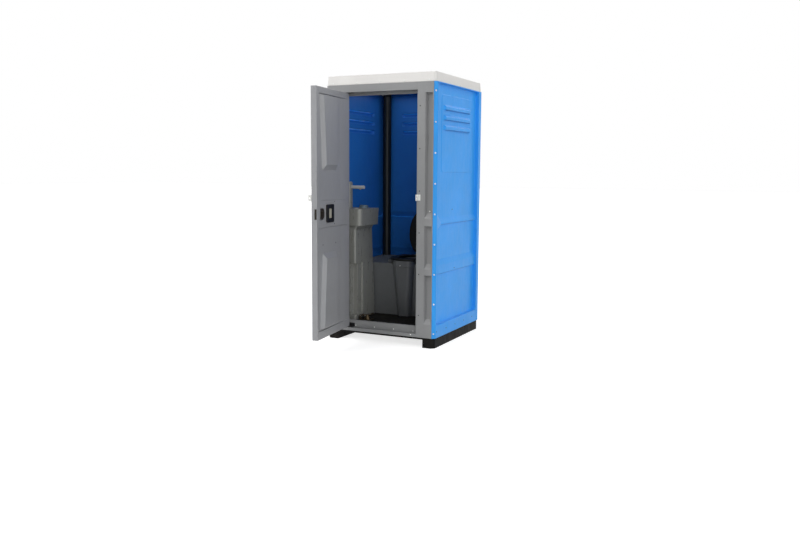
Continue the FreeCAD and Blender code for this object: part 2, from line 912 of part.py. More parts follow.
def door_pivots():
    """The plates and pins that the leaf turns on, below and above."""
    reach = pivot_x + leaf_half + S.pivot_plate
    plate_x = (pivot_x - leaf_half, reach)
    plate_y = (front + S.pivot_sheet, stop_front)
    bore = S.pivot_pin + S.pivot_fit
    low = S.opening_bottom
    plate = block("lower_plate", plate_x, plate_y, (low, low + S.pivot_sheet))
    lug = block("lower_lug", (pivot_x, reach), (stop_front - S.pivot_sheet, stop_front),
                (low, low + S.pivot_lug))
    collar = round_bar("lower_collar", S.pivot_collar, S.leaf_bottom - low - TOUCH,
                       pivot_x, pivot_y, low)
    hole = round_bar("lower_hole", bore, S.pivot_lug, pivot_x, pivot_y, low - OVER)
    finish(cut("lower_bracket_solid", fuse("lower_bracket_whole", [plate, lug, collar]), [hole]),
           "lower_pivot_bracket")
    finish(round_bar("lower_pin_solid", S.pivot_pin,
                     S.leaf_bottom + S.pin_reach - low + S.pin_seat, pivot_x, pivot_y,
                     low - S.pin_seat), "lower_pivot_pin")
    top = S.opening_top
    upper = block("upper_plate", plate_x, plate_y, (top - S.pivot_sheet, top))
    upper_hole = round_bar("upper_hole", bore, S.pivot_lug, pivot_x, pivot_y,
                           top - S.pivot_sheet - OVER)
    finish(cut("upper_bracket_solid", upper, [upper_hole]), "upper_pivot_bracket")
    start = S.leaf_top - S.pin_reach
    finish(round_bar("upper_pin_solid", S.pivot_pin, top + S.pin_seat - start,
                     pivot_x, pivot_y, start), "upper_pivot_pin")


def strike():
    half = S.latch_rise / 2 + S.strike_room
    face = block("strike_face", (opening_right - S.strike_sheet, opening_right),
                 (pivot_y - S.strike_near, pivot_y + S.latch_depth + S.strike_far),
                 (S.latch_centre - half - S.strike_end, S.latch_centre + half + S.strike_end))
    hole = block("strike_hole", (opening_right - S.strike_sheet - OVER, opening_right + OVER),
                 (pivot_y - S.strike_room, pivot_y + S.latch_depth + S.strike_room),
                 (S.latch_centre - half, S.latch_centre + half))
    finish(cut("strike_solid", face, [hole]), "strike_plate")


def hang(item):
    """Stands a piece of the door at its pivot, with the door as far open as it rests."""
    about_z = FreeCAD.Rotation(FreeCAD.Vector(0, 0, 1), -amount(S.door_angle))
    item.Placement = FreeCAD.Placement(FreeCAD.Vector(), about_z)
    place(item, pivot_x, pivot_y, 0)
    return item


def swell(name, low, high, ramp_low, ramp_high, way, shell=0):
    """The raised panel of the leaf's inner face, or its hollow when it shrinks by a shell. Its free
    side slopes, and leans towards the hinge on the way to the lock band."""
    foot = leaf_half - S.rim_depth - shell
    rise = S.swell_height
    x = (S.swell_hinge_side + shell, swell_end + rise)
    z = (low + shell, high - shell)
    body = pressing(name + "_body", x, (foot, foot + rise), z, (x[0] + rise, x[1]),
                    (z[0] + ramp_low, z[1] - ramp_high))
    reach = high - low
    beyond = pressing(name + "_beyond", (0, reach), (-1 * reach, reach), (-1 * reach, reach),
                      (0, reach), (-1 * reach, reach))
    beyond.Placement = FreeCAD.Placement(FreeCAD.Vector(), SWELL_LEAN[way])
    place(beyond, swell_end - shell, foot, high if way > 0 else low)
    return cut(name, body, [beyond])


def leaf_field(name, end, z, way):
    """A sunken field of the leaf's inner face: it slopes up to the hinge side, and its corners
    next to the lock band are round."""
    floor = leaf_half - S.rim_depth
    lock_side = amount(z[0] if way > 0 else z[1])
    flat = rounded(name + "_flat", block(name + "_block", (S.rim_hinge_side, end),
                                         (floor, leaf_half + OVER), z), S.rim_corner,
                   lambda edge: spans(edge, "y") and abs(edge.CenterOfMass.z - lock_side) < OVER)
    slope = pressing(name + "_slope", (S.rim_hinge_side - OVER, S.rim_ramp_end),
                     (floor - TOUCH, leaf_half + TOUCH), (z[0] - OVER, z[1] + OVER),
                     (S.rim_hinge_side - OVER, S.rim_hinge_side), (z[0] - OVER, z[1] + OVER))
    return cut(name, flat, [slope])


def door_leaf():
    """The leaf, drawn shut, with its pivot line as the origin and its outer face towards -Y."""
    solid = block("leaf_slab", (0, leaf_end), (-leaf_half, leaf_half), (S.leaf_bottom, S.leaf_top))
    edge = round_bar("leaf_edge", leaf_half, S.leaf_top - S.leaf_bottom, 0, 0, S.leaf_bottom)
    skin = S.leaf_skin
    swells, swell_cores = [], []
    for shell, made, mark in ((0, swells, "out"), (skin, swell_cores, "in")):
        made.append(swell("leaf_swell_high_" + mark, S.swell_high_end, S.swell_high_top,
                          S.swell_ramp, S.swell_lip, 1, shell))
        made.append(swell("leaf_swell_low_" + mark, S.swell_low_end, S.swell_low_top,
                          S.swell_lip, S.swell_ramp, -1, shell))
    fields = [leaf_field("leaf_field_high", leaf_end - S.rim_side_high,
                         (S.lock_high, S.leaf_top - S.rim_top), 1),
              leaf_field("leaf_field_low", leaf_end - S.rim_side_low,
                         (S.leaf_bottom + S.rim_bottom, S.lock_low), -1)]
    core_x = (S.rim_hinge_side, leaf_end - skin)
    core_y = (skin - leaf_half, leaf_half - S.rim_depth - skin)
    cores = [block("leaf_core_high", core_x, core_y, (S.lock_high + skin, S.leaf_top - skin)),
             block("leaf_core_low", core_x, core_y, (S.leaf_bottom + skin, S.lock_low - skin)),
             block("leaf_core_lock", (S.rim_hinge_side, handle_near), core_y,
                   (S.lock_low + skin, S.lock_high - skin))]
    half = S.latch_rise / 2 + S.latch_fit
    channel = block("latch_channel", (leaf_end - S.latch_length - 2 * S.latch_inset, leaf_end + OVER),
                    (0, S.latch_depth), (S.latch_centre - half, S.latch_centre + half))
    radius = (window_far - window_near) / 2
    middle = window_near + radius
    window = [round_bar("window_round", radius, leaf_half, middle, S.latch_depth / 2,
                        S.latch_centre, "y"),
              block("window_square", (middle, window_far), (S.latch_depth / 2, leaf_half + OVER),
                    (S.latch_centre - radius, S.latch_centre + radius))]
    grip_half = S.grip_rise / 2 + S.grip_room
    grip = block("grip_recess", (grip_near - S.grip_room, grip_far + S.grip_room),
                 (leaf_half - S.grip_deep, leaf_half + OVER),
                 (S.latch_centre - grip_half, S.latch_centre + grip_half))
    pocket_deep = S.disc_thick + 2 * S.latch_fit
    disc = [round_bar("disc_pocket", S.disc_radius + S.latch_fit, pocket_deep + OVER, middle,
                      -leaf_half - OVER, S.latch_centre, "y"),
            round_bar("disc_bore", S.disc_stub + S.pivot_fit, S.stub_length, middle,
                      S.disc_thick - leaf_half, S.latch_centre, "y")]
    bore = S.pivot_pin + S.pivot_fit
    deep = S.pin_reach + 2 * OVER
    bores = [round_bar("leaf_bore_low", bore, deep, 0, 0, S.leaf_bottom - OVER),
             round_bar("leaf_bore_high", bore, deep, 0, 0, S.leaf_top + OVER - deep)]
    pressed = cut("leaf_pressed", fuse("leaf_whole", [solid, edge]), fields)
    raised = fuse("leaf_raised", [pressed] + swells)
    item = cut("leaf_solid", raised, cores + swell_cores + [channel, grip] + window + disc + bores)
    finish(hang(item), "door_leaf")


def latch():
    """The sliding bolt with its finger rib, and the disc outside that it turns."""
    half = S.latch_rise / 2
    start = leaf_end - S.latch_inset - S.latch_length
    bolt = block("bolt_plate", (start, leaf_end - S.latch_inset),
                 (S.latch_fit, S.latch_depth - S.latch_fit),
                 (S.latch_centre - half, S.latch_centre + half))
    rib_x = window_far - S.latch_travel - S.rib_width - S.rib_margin
    rib = block("bolt_rib", (rib_x, rib_x + S.rib_width),
                (S.latch_depth - S.latch_fit, leaf_half + S.rib_proud),
                (S.latch_centre - half / 2, S.latch_centre + half / 2))
    finish(hang(fuse("slider_solid", [bolt, rib])), "latch_slider")
    middle = (window_near + window_far) / 2
    disc = round_bar("disc_plate", S.disc_radius, S.disc_thick, middle, S.latch_fit - leaf_half,
                     S.latch_centre, "y")
    stub = round_bar("disc_stub_bar", S.disc_stub, S.stub_length, middle, S.latch_fit - leaf_half,
                     S.latch_centre, "y")
    finish(hang(fuse("disc_solid", [disc, stub])), "vacancy_disc")


def door_fittings():
    """The handle inside, the latch plate and the pull outside, and the screws of the leaf."""
    half = S.handle_rise / 2
    level = S.latch_centre
    plate = rounded("handle_round", block("handle_block", (handle_near, handle_far),
                                          (leaf_half, leaf_half + S.handle_proud),
                                          (level - half, level + half)),
                    S.stand_corner, lambda edge: spans(edge, "y"))
    hole = block("handle_hole", (grip_near, grip_far), (leaf_half - OVER, leaf_half + 2 * S.handle_proud),
                 (level - S.grip_rise / 2, level + S.grip_rise / 2))
    finish(hang(cut("handle_solid", plate, [hole])), "inner_handle")
    middle = (window_near + window_far) / 2
    outer = rounded("outer_round", block("outer_block", (middle - S.outer_half, middle + S.outer_half),
                                         (-leaf_half - S.outer_plate, -leaf_half),
                                         (level - S.outer_rise / 2, level + S.outer_rise / 2)),
                    S.stand_corner, lambda edge: spans(edge, "y"))
    sight = block("outer_sight", (middle - S.sight_half, middle + S.sight_half),
                  (-leaf_half - S.outer_plate - OVER, OVER - leaf_half),
                  (level + S.sight_low, level + S.sight_high))
    finish(hang(cut("outer_solid", outer, [sight])), "outer_latch_plate")
    pull_x = (grip_near, grip_near + S.pull_width)
    far = -leaf_half - S.pull_proud
    end = S.pull_rise / 2
    bar = block("pull_bar_block", pull_x, (far, far + S.pull_bar), (level - end, level + end))
    feet = [block("pull_foot_low", pull_x, (far, -leaf_half), (level - end, level - end + S.pull_foot)),
            block("pull_foot_high", pull_x, (far, -leaf_half), (level + end - S.pull_foot, level + end))]
    finish(hang(fuse("pull_solid", [bar] + feet)), "outer_pull")
    field = leaf_half - S.rim_depth
    spots = [(leaf_end - S.leaf_screw_1_in, S.leaf_screw_1_z, leaf_half),
             (leaf_end - S.leaf_screw_2_in, S.leaf_screw_2_z, leaf_half),
             (leaf_end - S.leaf_screw_3_in, S.leaf_screw_3_z, field),
             (leaf_end - S.leaf_screw_4_in, S.leaf_screw_4_z, field)]
    heads = [head("leaf_screw_%d" % number, S.screw_radius, S.screw_rise, x, y, z, "y")
             for number, (x, z, y) in enumerate(spots, start=1)]
    finish(hang(group("leaf_screws_set", heads)), "leaf_screws")


def hasp(name, flat_x, standing_x, face):
    """A white angle for a padlock: a flat leg on the face and a holed leg standing out of it."""
    rise = (S.hasp_centre - S.hasp_rise / 2, S.hasp_centre + S.hasp_rise / 2)
    flat = block(name + "_flat", flat_x, (face - S.hasp_sheet, face), rise)
    standing = block(name + "_standing", standing_x, (face - S.hasp_leg, face), rise)
    hole = round_bar(name + "_hole", S.hasp_hole, S.hasp_sheet * 3, standing_x[0] - S.hasp_sheet,
                     face - S.hasp_hole_out, S.hasp_centre, "x")
    return cut(name + "_solid", fuse(name + "_whole", [flat, standing]), [hole])


def hasps():
    gap = S.hasp_sheet
    flat = (opening_right + gap, opening_right + gap + S.hasp_leg)
    finish(hasp("jamb_hasp", flat, (flat[0], flat[0] + S.hasp_sheet), front), "jamb_hasp")
    shut = (leaf_end - gap - S.hasp_leg, leaf_end - gap)
    finish(hang(hasp("door_hasp", shut, (shut[1] - S.hasp_sheet, shut[1]), -leaf_half)), "door_hasp")
    levels = [S.hasp_centre - S.hasp_rivet_pitch / 2, S.hasp_centre + S.hasp_rivet_pitch / 2]
    face = front - S.hasp_sheet
    leaf_face = -leaf_half - S.hasp_sheet
    on_jamb = [head("jamb_hasp_rivet_%d" % n, S.screw_radius, S.screw_rise, flat[1] - S.hasp_rivet_in,
                    face, z) for n, z in enumerate(levels)]
    on_leaf = [head("door_hasp_rivet_%d" % n, S.screw_radius, S.screw_rise, shut[0] + S.hasp_rivet_in,
                    leaf_face, z) for n, z in enumerate(levels)]
    finish(group("jamb_hasp_set", on_jamb), "jamb_hasp_rivets")
    finish(hang(group("door_hasp_set", on_leaf)), "door_hasp_rivets")


def base():
    """Two skids with anchor holes in their undersides, and the hollow pallet with the floor."""
    half = HALF - S.base_inset
    inner = half - S.runner_width
    corner = half - S.corner_cut
    points = [(inner, -half), (corner, -half), (half, -corner), (half, corner), (corner, half),
              (inner, half)]
    hole_x = inner + S.runner_width / 2
    for side, label in ((1, "base_runner_right"), (-1, "base_runner_left")):
        outline = [(side * x, y) for x, y in points]
        runner = slab(label + "_slab", outline, (0, S.runner_height))
        core_half = S.runner_width / 2 - S.runner_side
        core_end = S.anchor_span / 2 - S.runner_end
        core = block(label + "_core", (side * hole_x - core_half, side * hole_x + core_half),
                     (-core_end, core_end), (S.runner_sheet, S.runner_height - S.runner_sheet))
        holes = [round_bar("%s_hole_%d" % (label, n), S.anchor_hole / 2, S.anchor_deep + OVER,
                           side * hole_x, y, -OVER)
                 for n, y in enumerate((-S.anchor_span / 2, S.anchor_span / 2))]
        finish(cut(label + "_solid", runner, [core] + holes), label)
    deck = slab("pallet_deck", octagon(half, S.corner_cut), (S.runner_height, S.wall_bottom))
    edge = HALF - S.sheet
    clip = edge - S.floor_corner
    floor_points = [(-edge, stop_back), (edge, stop_back), (edge, clip), (clip, edge),
                    (-clip, edge), (-edge, clip)]
    floor = slab("pallet_floor", floor_points, (S.wall_bottom, sill_floor))
    core = block("pallet_core", (S.pallet_side - edge, edge - S.pallet_side),
                 (stop_back + S.pallet_side, edge - S.floor_corner),
                 (S.runner_height + S.base_skin, sill_floor - S.base_skin))
    finish(cut("pallet_solid", fuse("pallet_whole", [deck, floor]), [core]), "base_pallet")


def roof():
    """The white roof: a drafted skirt round the walls' lips and a low crown, hollow below."""
    half = HALF - S.roof_inset
    low = S.wall_top
    high = S.wall_top + S.roof_edge
    thick = S.roof_sheet
    top_half = half - S.roof_draft
    crown_half = top_half - S.roof_shoulder
    flat_half = S.crown_flat / 2

    def square(size):
        return (-size, size)

    skirt = rounded("roof_skirt", tapered("roof_skirt_block", square(half), square(half), (low, high),
                                          square(top_half), square(top_half)),
                    S.roof_corner, lambda edge: spans(edge, "z"))
    crown = tapered("roof_crown_block", square(crown_half), square(crown_half),
                    (high, high + S.roof_crown), square(flat_half), square(flat_half))
    inner = rounded("roof_hollow", tapered("roof_hollow_block", square(half - thick),
                                           square(half - thick), (low, high - thick),
                                           square(top_half - thick), square(top_half - thick)),
                    S.roof_corner - thick, lambda edge: spans(edge, "z"))
    inner_crown = tapered("roof_crown_hollow", square(crown_half - thick), square(crown_half - thick),
                          (high - thick - OVER, high + S.roof_crown - thick - OVER),
                          square(flat_half), square(flat_half))
    hole = round_bar("roof_hole", S.vent_radius + S.vent_room, S.roof_edge + S.roof_crown,
                     -vent_along, vent_back, low)
    item = cut("roof_solid", fuse("roof_whole", [skirt, crown]), [inner, inner_crown, hole])
    finish(item, "roof")


def vent():
    """The vent pipe from the tank through the roof, and the hood that stands over its end."""
    x = -vent_along
    y = vent_back
    foot = S.tank_rim_rear + S.vent_boss
    length = (vent_top - foot) / VENT_LENGTHS
    tubes = []
    for number in range(VENT_LENGTHS):
        low = foot + length * number
        tube = round_bar("vent_tube_%d" % number, S.vent_radius, length, x, y, low)
        bore = round_bar("vent_bore_%d" % number, S.vent_radius - S.vent_wall, length + 2 * OVER,
                         x, y, low - OVER)
        tubes.append(cut("vent_length_%d" % number, tube, [bore]))
    finish(group("vent_set", tubes), "vent_pipe")
    outer = S.vent_radius + S.collar_wall
    collar_foot = vent_top + S.collar_foot - S.collar_rise
    collar = round_bar("vent_collar", outer, S.collar_rise, x, y, collar_foot)
    collar_bore = round_bar("vent_collar_bore", S.vent_radius + TOUCH, S.collar_rise + 2 * OVER,
                            x, y, collar_foot - OVER)
    ring = cut("vent_ring", collar, [collar_bore])
    collar_top = collar_foot + S.collar_rise
    legs = []
    for number, (a, b) in enumerate([(1, 0), (0, 1), (-1, 0), (0, -1)]):
        across = S.collar_wall / 2
        middle = outer - across
        leg_x = (x + a * middle - across, x + a * middle + across)
        leg_y = (y + b * middle - across, y + b * middle + across)
        legs.append(block("vent_leg_%d" % number, leg_x, leg_y,
                          (collar_top - S.collar_wall, collar_top + S.vent_gap + S.collar_wall)))
    hood = doc.addObject("Part::Cone", "vent_hood_cone")
    bind(hood, "Radius1", S.vent_hood)
    bind(hood, "Radius2", S.vent_hood / 2)
    bind(hood, "Height", S.vent_hood / 3)
    place(hood, x, y, collar_top + S.vent_gap)
    finish(fuse("vent_cap_solid", [ring, hood] + legs), "vent_cap")


def waste_tank():
    """The grey tub across the rear, and the deck on it that carries the seat and the vent pipe."""
    rim_low = S.tank_rim_front - S.rim_rise
    side = tank_half - S.rim_proud
    rear = tank_half - S.rim_proud
    front_top = S.rim_proud - S.tank_front
    draft = S.tank_draft
    wall = S.tank_wall
    lip = S.rim_proud / 2

    def front_corner(edge):
        return spans(edge, "z", UPRIGHT_RATIO) and edge.CenterOfMass.y < 0

    body = tapered("tank_body", (draft - side, side - draft), (front_top + S.tank_taper, rear),
                   (sill_floor, rim_low), (-side, side), (front_top, rear))
    deck = pressing("tank_deck_block", (-tank_half, tank_half), (-S.tank_front, tank_half),
                    (rim_low, S.tank_rim_front), (-tank_half, tank_half),
                    (rim_low, S.tank_rim_rear))
    bulge = rounded("tank_bulge", tapered("tank_bulge_block", (-S.bulge_half_foot, S.bulge_half_foot),
                                          (-S.bulge_front_foot, S.bowl_centre),
                                          (sill_floor, S.tank_rim_front),
                                          (-S.bulge_half_top, S.bulge_half_top),
                                          (-S.bulge_front_top, S.bowl_centre)),
                    S.bulge_corner, front_corner)
    rim = rounded("tank_bulge_rim",
                  block("tank_bulge_rim_block", (-S.bulge_half_top - lip, S.bulge_half_top + lip),
                        (-S.bulge_front_top - lip, S.bowl_centre), (rim_low + lip, S.platform_top)),
                  S.bulge_corner + lip, front_corner)
    platform = block("tank_platform", (-S.platform_half, S.platform_half),
                     (S.platform_front, S.platform_rear), (rim_low + lip, S.platform_top))
    boss = round_bar("tank_boss", S.vent_radius + S.vent_boss, S.rim_rise, -vent_along, vent_back,
                     S.tank_rim_rear + S.vent_boss - S.rim_rise)
    hollow = tapered("tank_hollow", (draft + wall - side, side - draft - wall),
                     (front_top + S.tank_taper + wall, rear - wall), (sill_floor + wall, rim_low),
                     (wall - side, side - wall), (front_top + wall, rear - wall))
    attic = pressing("tank_attic", (wall - side, side - wall), (front_top + wall, rear - wall),
                     (rim_low - wall, S.tank_rim_front - wall), (wall - side, side - wall),
                     (rim_low - wall, S.tank_rim_rear - wall))
    bulge_hollow = rounded("tank_bulge_hollow",
                           tapered("tank_bulge_core", (wall - S.bulge_half_foot, S.bulge_half_foot - wall),
                                   (wall - S.bulge_front_foot, S.bowl_centre),
                                   (sill_floor + wall, rim_low),
                                   (wall - S.bulge_half_top, S.bulge_half_top - wall),
                                   (wall - S.bulge_front_top, S.bowl_centre)),
                           S.bulge_corner - wall, front_corner)
    mouth = stadium("tank_mouth", rim_low - wall, S.platform_top - rim_low + wall + OVER)
    duct_top = S.tank_rim_rear + S.vent_boss + OVER
    duct = round_bar("tank_duct", S.vent_radius - S.vent_wall, duct_top - rim_low + wall,
                     -vent_along, vent_back, rim_low - wall)
    whole = fuse("tank_whole", [body, deck, bulge, rim, platform, boss])
    solid = cut("tank_solid", whole, [hollow, attic, bulge_hollow, mouth, duct])
    over_deck = block("tank_over_deck", (-HALF, HALF), (-HALF, HALF), (rim_low, S.platform_top + OVER))
    under_deck = block("tank_under_deck", (-HALF, HALF), (-HALF, HALF), (sill_floor - OVER, rim_low))
    finish(cut("tank_tub", solid, [over_deck]), "waste_tank")
    finish(cut("tank_top", solid, [under_deck]), "tank_deck")
    finish(head("tank_screw_head", S.screw_radius, S.screw_rise, -S.tank_screw_left,
                -S.bulge_front_top - lip, S.tank_rim_front - S.tank_screw_down), "tank_screw")


def stadium(name, low, height, shrink=0):
    """A long hole with round ends below the seat."""
    radius = S.bowl_radius - shrink
    ends = [round_bar(name + "_front", radius, height, 0, S.bowl_centre, low),
            round_bar(name + "_rear", radius, height, 0, S.bowl_centre + S.bowl_length, low)]
    middle = block(name + "_middle", (-radius, radius),
                   (S.bowl_centre, S.bowl_centre + S.bowl_length), (low, low + height))
    return fuse(name, ends + [middle])


seat_low = S.platform_top + TOUCH
seat_top = seat_low + S.seat_thick
seat_axis = seat_top - S.axis_down


def flap(name, half, tip, heel, low, thick, notches):
    """A seat or a lid lying flat: an arched plate, notched for its hinge arms."""
    body = new_body(name + "_plate")
    outline = Outline(body, "XY_Plane", low, name + "_outline")
    plate = pad(body, outline.arch(half, half - tip, heel), thick)
    doc.recompute()
    rims = ["Edge%d" % n for n, e in enumerate(plate.Shape.Edges, start=1) if not spans(e, "z")]
    soften(body, plate, thick * S.rim_round_ratio, rims)
    return cut(name + "_notched", body, notches)


def oval(name, low, notches):
    """The lid lying flat: an oval plate with rounded rims, notched for its hinge arms."""
    outline = doc.addObject("Part::Ellipse", name + "_outline")
    bind(outline, "MajorRadius", S.lid_reach)
    bind(outline, "MinorRadius", S.lid_half)
    outline.Placement = FreeCAD.Placement(FreeCAD.Vector(), FreeCAD.Rotation(FreeCAD.Vector(0, 0, 1),
                                                                            SQUARE_TURN))
    place(outline, 0, S.seat_axis_back - S.lid_heel - S.lid_reach, low)
    plate = doc.addObject("Part::Extrusion", name + "_plate")
    plate.Base = outline
    plate.DirMode = "Custom"
    plate.Dir = FreeCAD.Vector(0, 0, 1)
    plate.Solid = True
    bind(plate, "LengthFwd", S.lid_thick)
    soft = rounded(name + "_soft", plate, S.lid_thick * S.rim_round_ratio,
                   lambda edge: len(edge.Vertexes) == 1)
    return cut(name + "_notched", soft, notches)


def arm_bars(name, tab, y, z):
    """The bars of the two hinge arms at the heel of a plate, right and left."""
    right = block(name + "_bar_right", (tab, tab + S.knuckle_width), y, z)
    left = block(name + "_bar_left", (-tab - S.knuckle_width, -tab), y, z)
    return [right, left]


def hinge_bore(name):
    long = S.platform_half * 2
    return round_bar(name + "_bore", S.hinge_pin + S.hinge_fit, long, -S.platform_half,
                     S.seat_axis_back, seat_axis, "x")


def arms(name, tab, bars):
    """The two hinge arms: each bar with a knuckle round the pin."""
    knuckles = [round_bar("%s_knuckle_%d" % (name, number), S.knuckle, S.knuckle_width, start,
                          S.seat_axis_back, seat_axis, "x")
                for number, start in enumerate((tab, -tab - S.knuckle_width))]
    return cut(name + "_arms_solid", fuse(name + "_arms_whole", bars + knuckles), [hinge_bore(name)])


def toilet_seat():
    """The seat, the lid standing open behind it, their hinge arms, and the brackets and pins."""
    y = S.seat_axis_back
    seat_bars = arm_bars("seat", S.seat_tab, (S.seat_rear - S.arm_in, y),
                         (seat_low, seat_low + S.arm_thick))
    hole = stadium("seat_hole", seat_low - OVER, S.seat_thick + 2 * OVER, S.seat_hole_in)
    finish(flap("seat", S.seat_half, S.seat_front, S.seat_rear, seat_low, S.seat_thick,
                seat_bars + [hole]), "toilet_seat")
    finish(arms("seat", S.seat_tab, seat_bars), "seat_arms")
    near = S.seat_tab - S.knuckle_gap
    far = near - S.bracket_width
    lid_tab = far - S.knuckle_gap - S.knuckle_width
    lid_low = seat_top + S.lid_gap
    lid_high = lid_low + S.lid_thick
    lid_bars = (arm_bars("lid", lid_tab, (S.lid_rear, y), (seat_axis, lid_high))
                + arm_bars("lid_tongue", lid_tab, (S.lid_rear - S.lid_tongue, S.lid_rear + OVER),
                           (lid_low, lid_high)))
    lid = oval("lid", lid_low, lid_bars)
    pin_line = FreeCAD.Vector(0, amount(y), amount(seat_axis))
    raised = FreeCAD.Rotation(FreeCAD.Vector(1, 0, 0), -amount(S.lid_angle))
    for item, label in ((lid, "seat_lid"), (arms("lid", lid_tab, lid_bars), "lid_arms")):
        item.Placement = FreeCAD.Placement(FreeCAD.Vector(), raised, pin_line)
        finish(item, label)
    brackets, pins = [], []
    start = lid_tab - S.pin_spare
    end = S.seat_tab + S.knuckle_width + S.pin_spare
    for side, mark in ((1, "right"), (-1, "left")):
        reach = (far, near) if side > 0 else (-near, -far)
        brackets.append(block("bracket_" + mark, reach, (y - S.bracket_half, y + S.bracket_half),
                              (S.platform_top, seat_axis + S.bracket_top)))
        pins.append(round_bar("seat_pin_" + mark, S.hinge_pin, end - start,
                              start if side > 0 else -end, y, seat_axis, "x"))
    finish(cut("bracket_solid", fuse("bracket_whole", brackets), [hinge_bore("bracket")]),
           "seat_brackets")
    finish(group("seat_pins_set", pins), "seat_hinge_pins")


def wash_stand():
    """The wash stand against the left wall: a hollow foot, a basin on top and a filler neck."""
    back = -stand_back
    face = -S.stand_face
    middle = amount(back + face) / 2
    skin = S.stand_skin
    tuck = S.basin_tuck

    def free_corner(edge):
        return spans(edge, "z") and edge.CenterOfMass.x > middle

    def rear_corner(edge):
        return free_corner(edge) and edge.CenterOfMass.y > -amount(S.bowl_rear)

    def front_corner(edge):
        return free_corner(edge) and edge.CenterOfMass.y < -amount(S.bowl_rear)

    foot = rounded("stand_foot", tapered("stand_foot_block", (back, face + S.stand_flare),
                                         (-S.stand_front - S.stand_flare, S.stand_spread - S.stand_rear),
                                         (sill_floor, S.basin_low), (back, face),
                                         (-S.stand_front, -S.stand_rear)),
                   S.stand_corner, free_corner)
    basin = rounded("stand_basin_front",
                    tapered("stand_basin_block", (back, -S.basin_face - tuck),
                            (tuck - S.basin_front, -S.basin_rear - tuck), (S.basin_low, S.basin_top),
                            (back, -S.basin_face), (-S.basin_front, -S.basin_rear)),
                    S.basin_corner, front_corner)
    basin = rounded("stand_basin", basin, S.stand_corner, rear_corner)
    neck_radius = S.cap_radius - S.cap_wall - S.pivot_fit
    neck = round_bar("stand_neck", neck_radius, S.cap_rise - 2 * S.cap_wall,
                     -S.cap_along, -S.cap_back, S.basin_top)
    neck_bore = round_bar("stand_neck_bore", neck_radius - S.neck_wall,
                          S.cap_rise + S.basin_top - S.basin_low, -S.cap_along, -S.cap_back,
                          S.basin_low)
    bowl_x = (skin - S.tower_face, -S.basin_face - S.bowl_wall)
    draft = S.bowl_draft
    bowl = rounded("stand_bowl", tapered("stand_bowl_block", (bowl_x[0] + draft, bowl_x[1] - draft),
                                         (draft - S.bowl_front, -S.bowl_rear - draft),
                                         (S.basin_top - S.bowl_deep, S.basin_top + OVER),
                                         bowl_x, (-S.bowl_front, -S.bowl_rear)),
                   S.bowl_corner, lambda edge: spans(edge, "z", UPRIGHT_RATIO))
    inset = skin + S.niche_side_deep
    core_front = skin + S.niche_front_deep - S.stand_front
    core = tapered("stand_core", (back + skin, face - inset),
                   (core_front, S.stand_spread - S.stand_rear - skin),
                   (sill_floor + skin, S.basin_low), (back + skin, face - inset),
                   (core_front, -S.stand_rear - skin))
    upper_core = block("stand_upper_core", (back + skin, face - skin),
                       (skin - S.stand_front, -S.stand_rear - skin),
                       (S.niche_high + skin, S.basin_low))
    basin_core = block("stand_basin_core", (back + skin, -S.basin_face - tuck - skin * 2),
                       (skin * 2 - S.bowl_rear, -S.basin_rear - tuck - skin),
                       (S.basin_low + skin, S.basin_top - skin))
    link = block("stand_link", (back + skin, face - inset),
                 (skin * 2 - S.bowl_rear, -S.stand_rear - tuck - skin),
                 (S.basin_low - skin, S.basin_low + skin * 2))
    niches = [block("niche_front", (face - S.niche_front_wide, face + S.niche_front_wide),
                    (-S.stand_front - S.niche_front_deep, S.niche_front_deep - S.stand_front),
                    (S.niche_low, S.niche_high)),
              block("niche_side", (face - S.niche_side_deep, face + S.niche_front_wide),
                    (-S.stand_front, S.niche_side_wide - S.stand_front), (S.niche_low, S.niche_high))]
    collar = rounded("stand_collar", tapered("stand_collar_block", (back, face),
                                             (-S.stand_front, -S.stand_rear),
                                             (S.basin_low - S.collar_rise_stand, S.basin_low),
                                             (back, face + S.collar_out),
                                             (-S.stand_front, -S.stand_rear)),
                     S.stand_corner, free_corner)
    whole = fuse("stand_whole", [foot, basin, collar, neck])
    finish(cut("stand_solid", whole, [bowl, core, upper_core, basin_core, link, neck_bore] + niches),
           "wash_stand")
    drain_x = (bowl_x[0] + bowl_x[1]) / 2
    finish(round_bar("drain_disc", S.drain_radius, S.drain_sheet, drain_x,
                     -(S.bowl_front + S.bowl_rear) / 2, S.basin_top - S.bowl_deep), "basin_drain")


def tap():
    """The column at the back of the basin, its spout and the nozzle below the spout's end."""
    back = -stand_back
    clear = OVER * 5

    def free_edge(edge):
        middle = edge.CenterOfMass
        high = middle.z > amount(S.tower_top) - clear
        return (middle.x > amount(back) + clear and middle.z > amount(S.basin_top) + clear
                and (spans(edge, "z") or high))

    tower = rounded("tower_solid", block("tower_block", (back, -S.tower_face),
                                         (-S.tower_front, -S.tower_rear),
                                         (S.basin_top, S.tower_top)), S.tower_corner, free_edge)
    finish(tower, "tap_tower")
    y = -(S.tower_front + S.tower_rear) / 2
    level = S.tower_top - S.spout_down
    bar = round_bar("spout_bar", S.spout_radius, S.spout_reach, -S.tower_face, y, level, "x")
    x = S.spout_reach - S.tower_face - S.nozzle_in
    drop = level - S.spout_radius - S.nozzle_drop
    hole = round_bar("spout_hole", S.nozzle_radius + S.pivot_fit, S.spout_radius + S.nozzle_drop,
                     x, y, drop)
    finish(cut("spout_solid", bar, [hole]), "tap_spout")
    finish(round_bar("nozzle_solid", S.nozzle_radius, S.spout_radius + S.nozzle_drop, x, y, drop),
           "tap_nozzle")


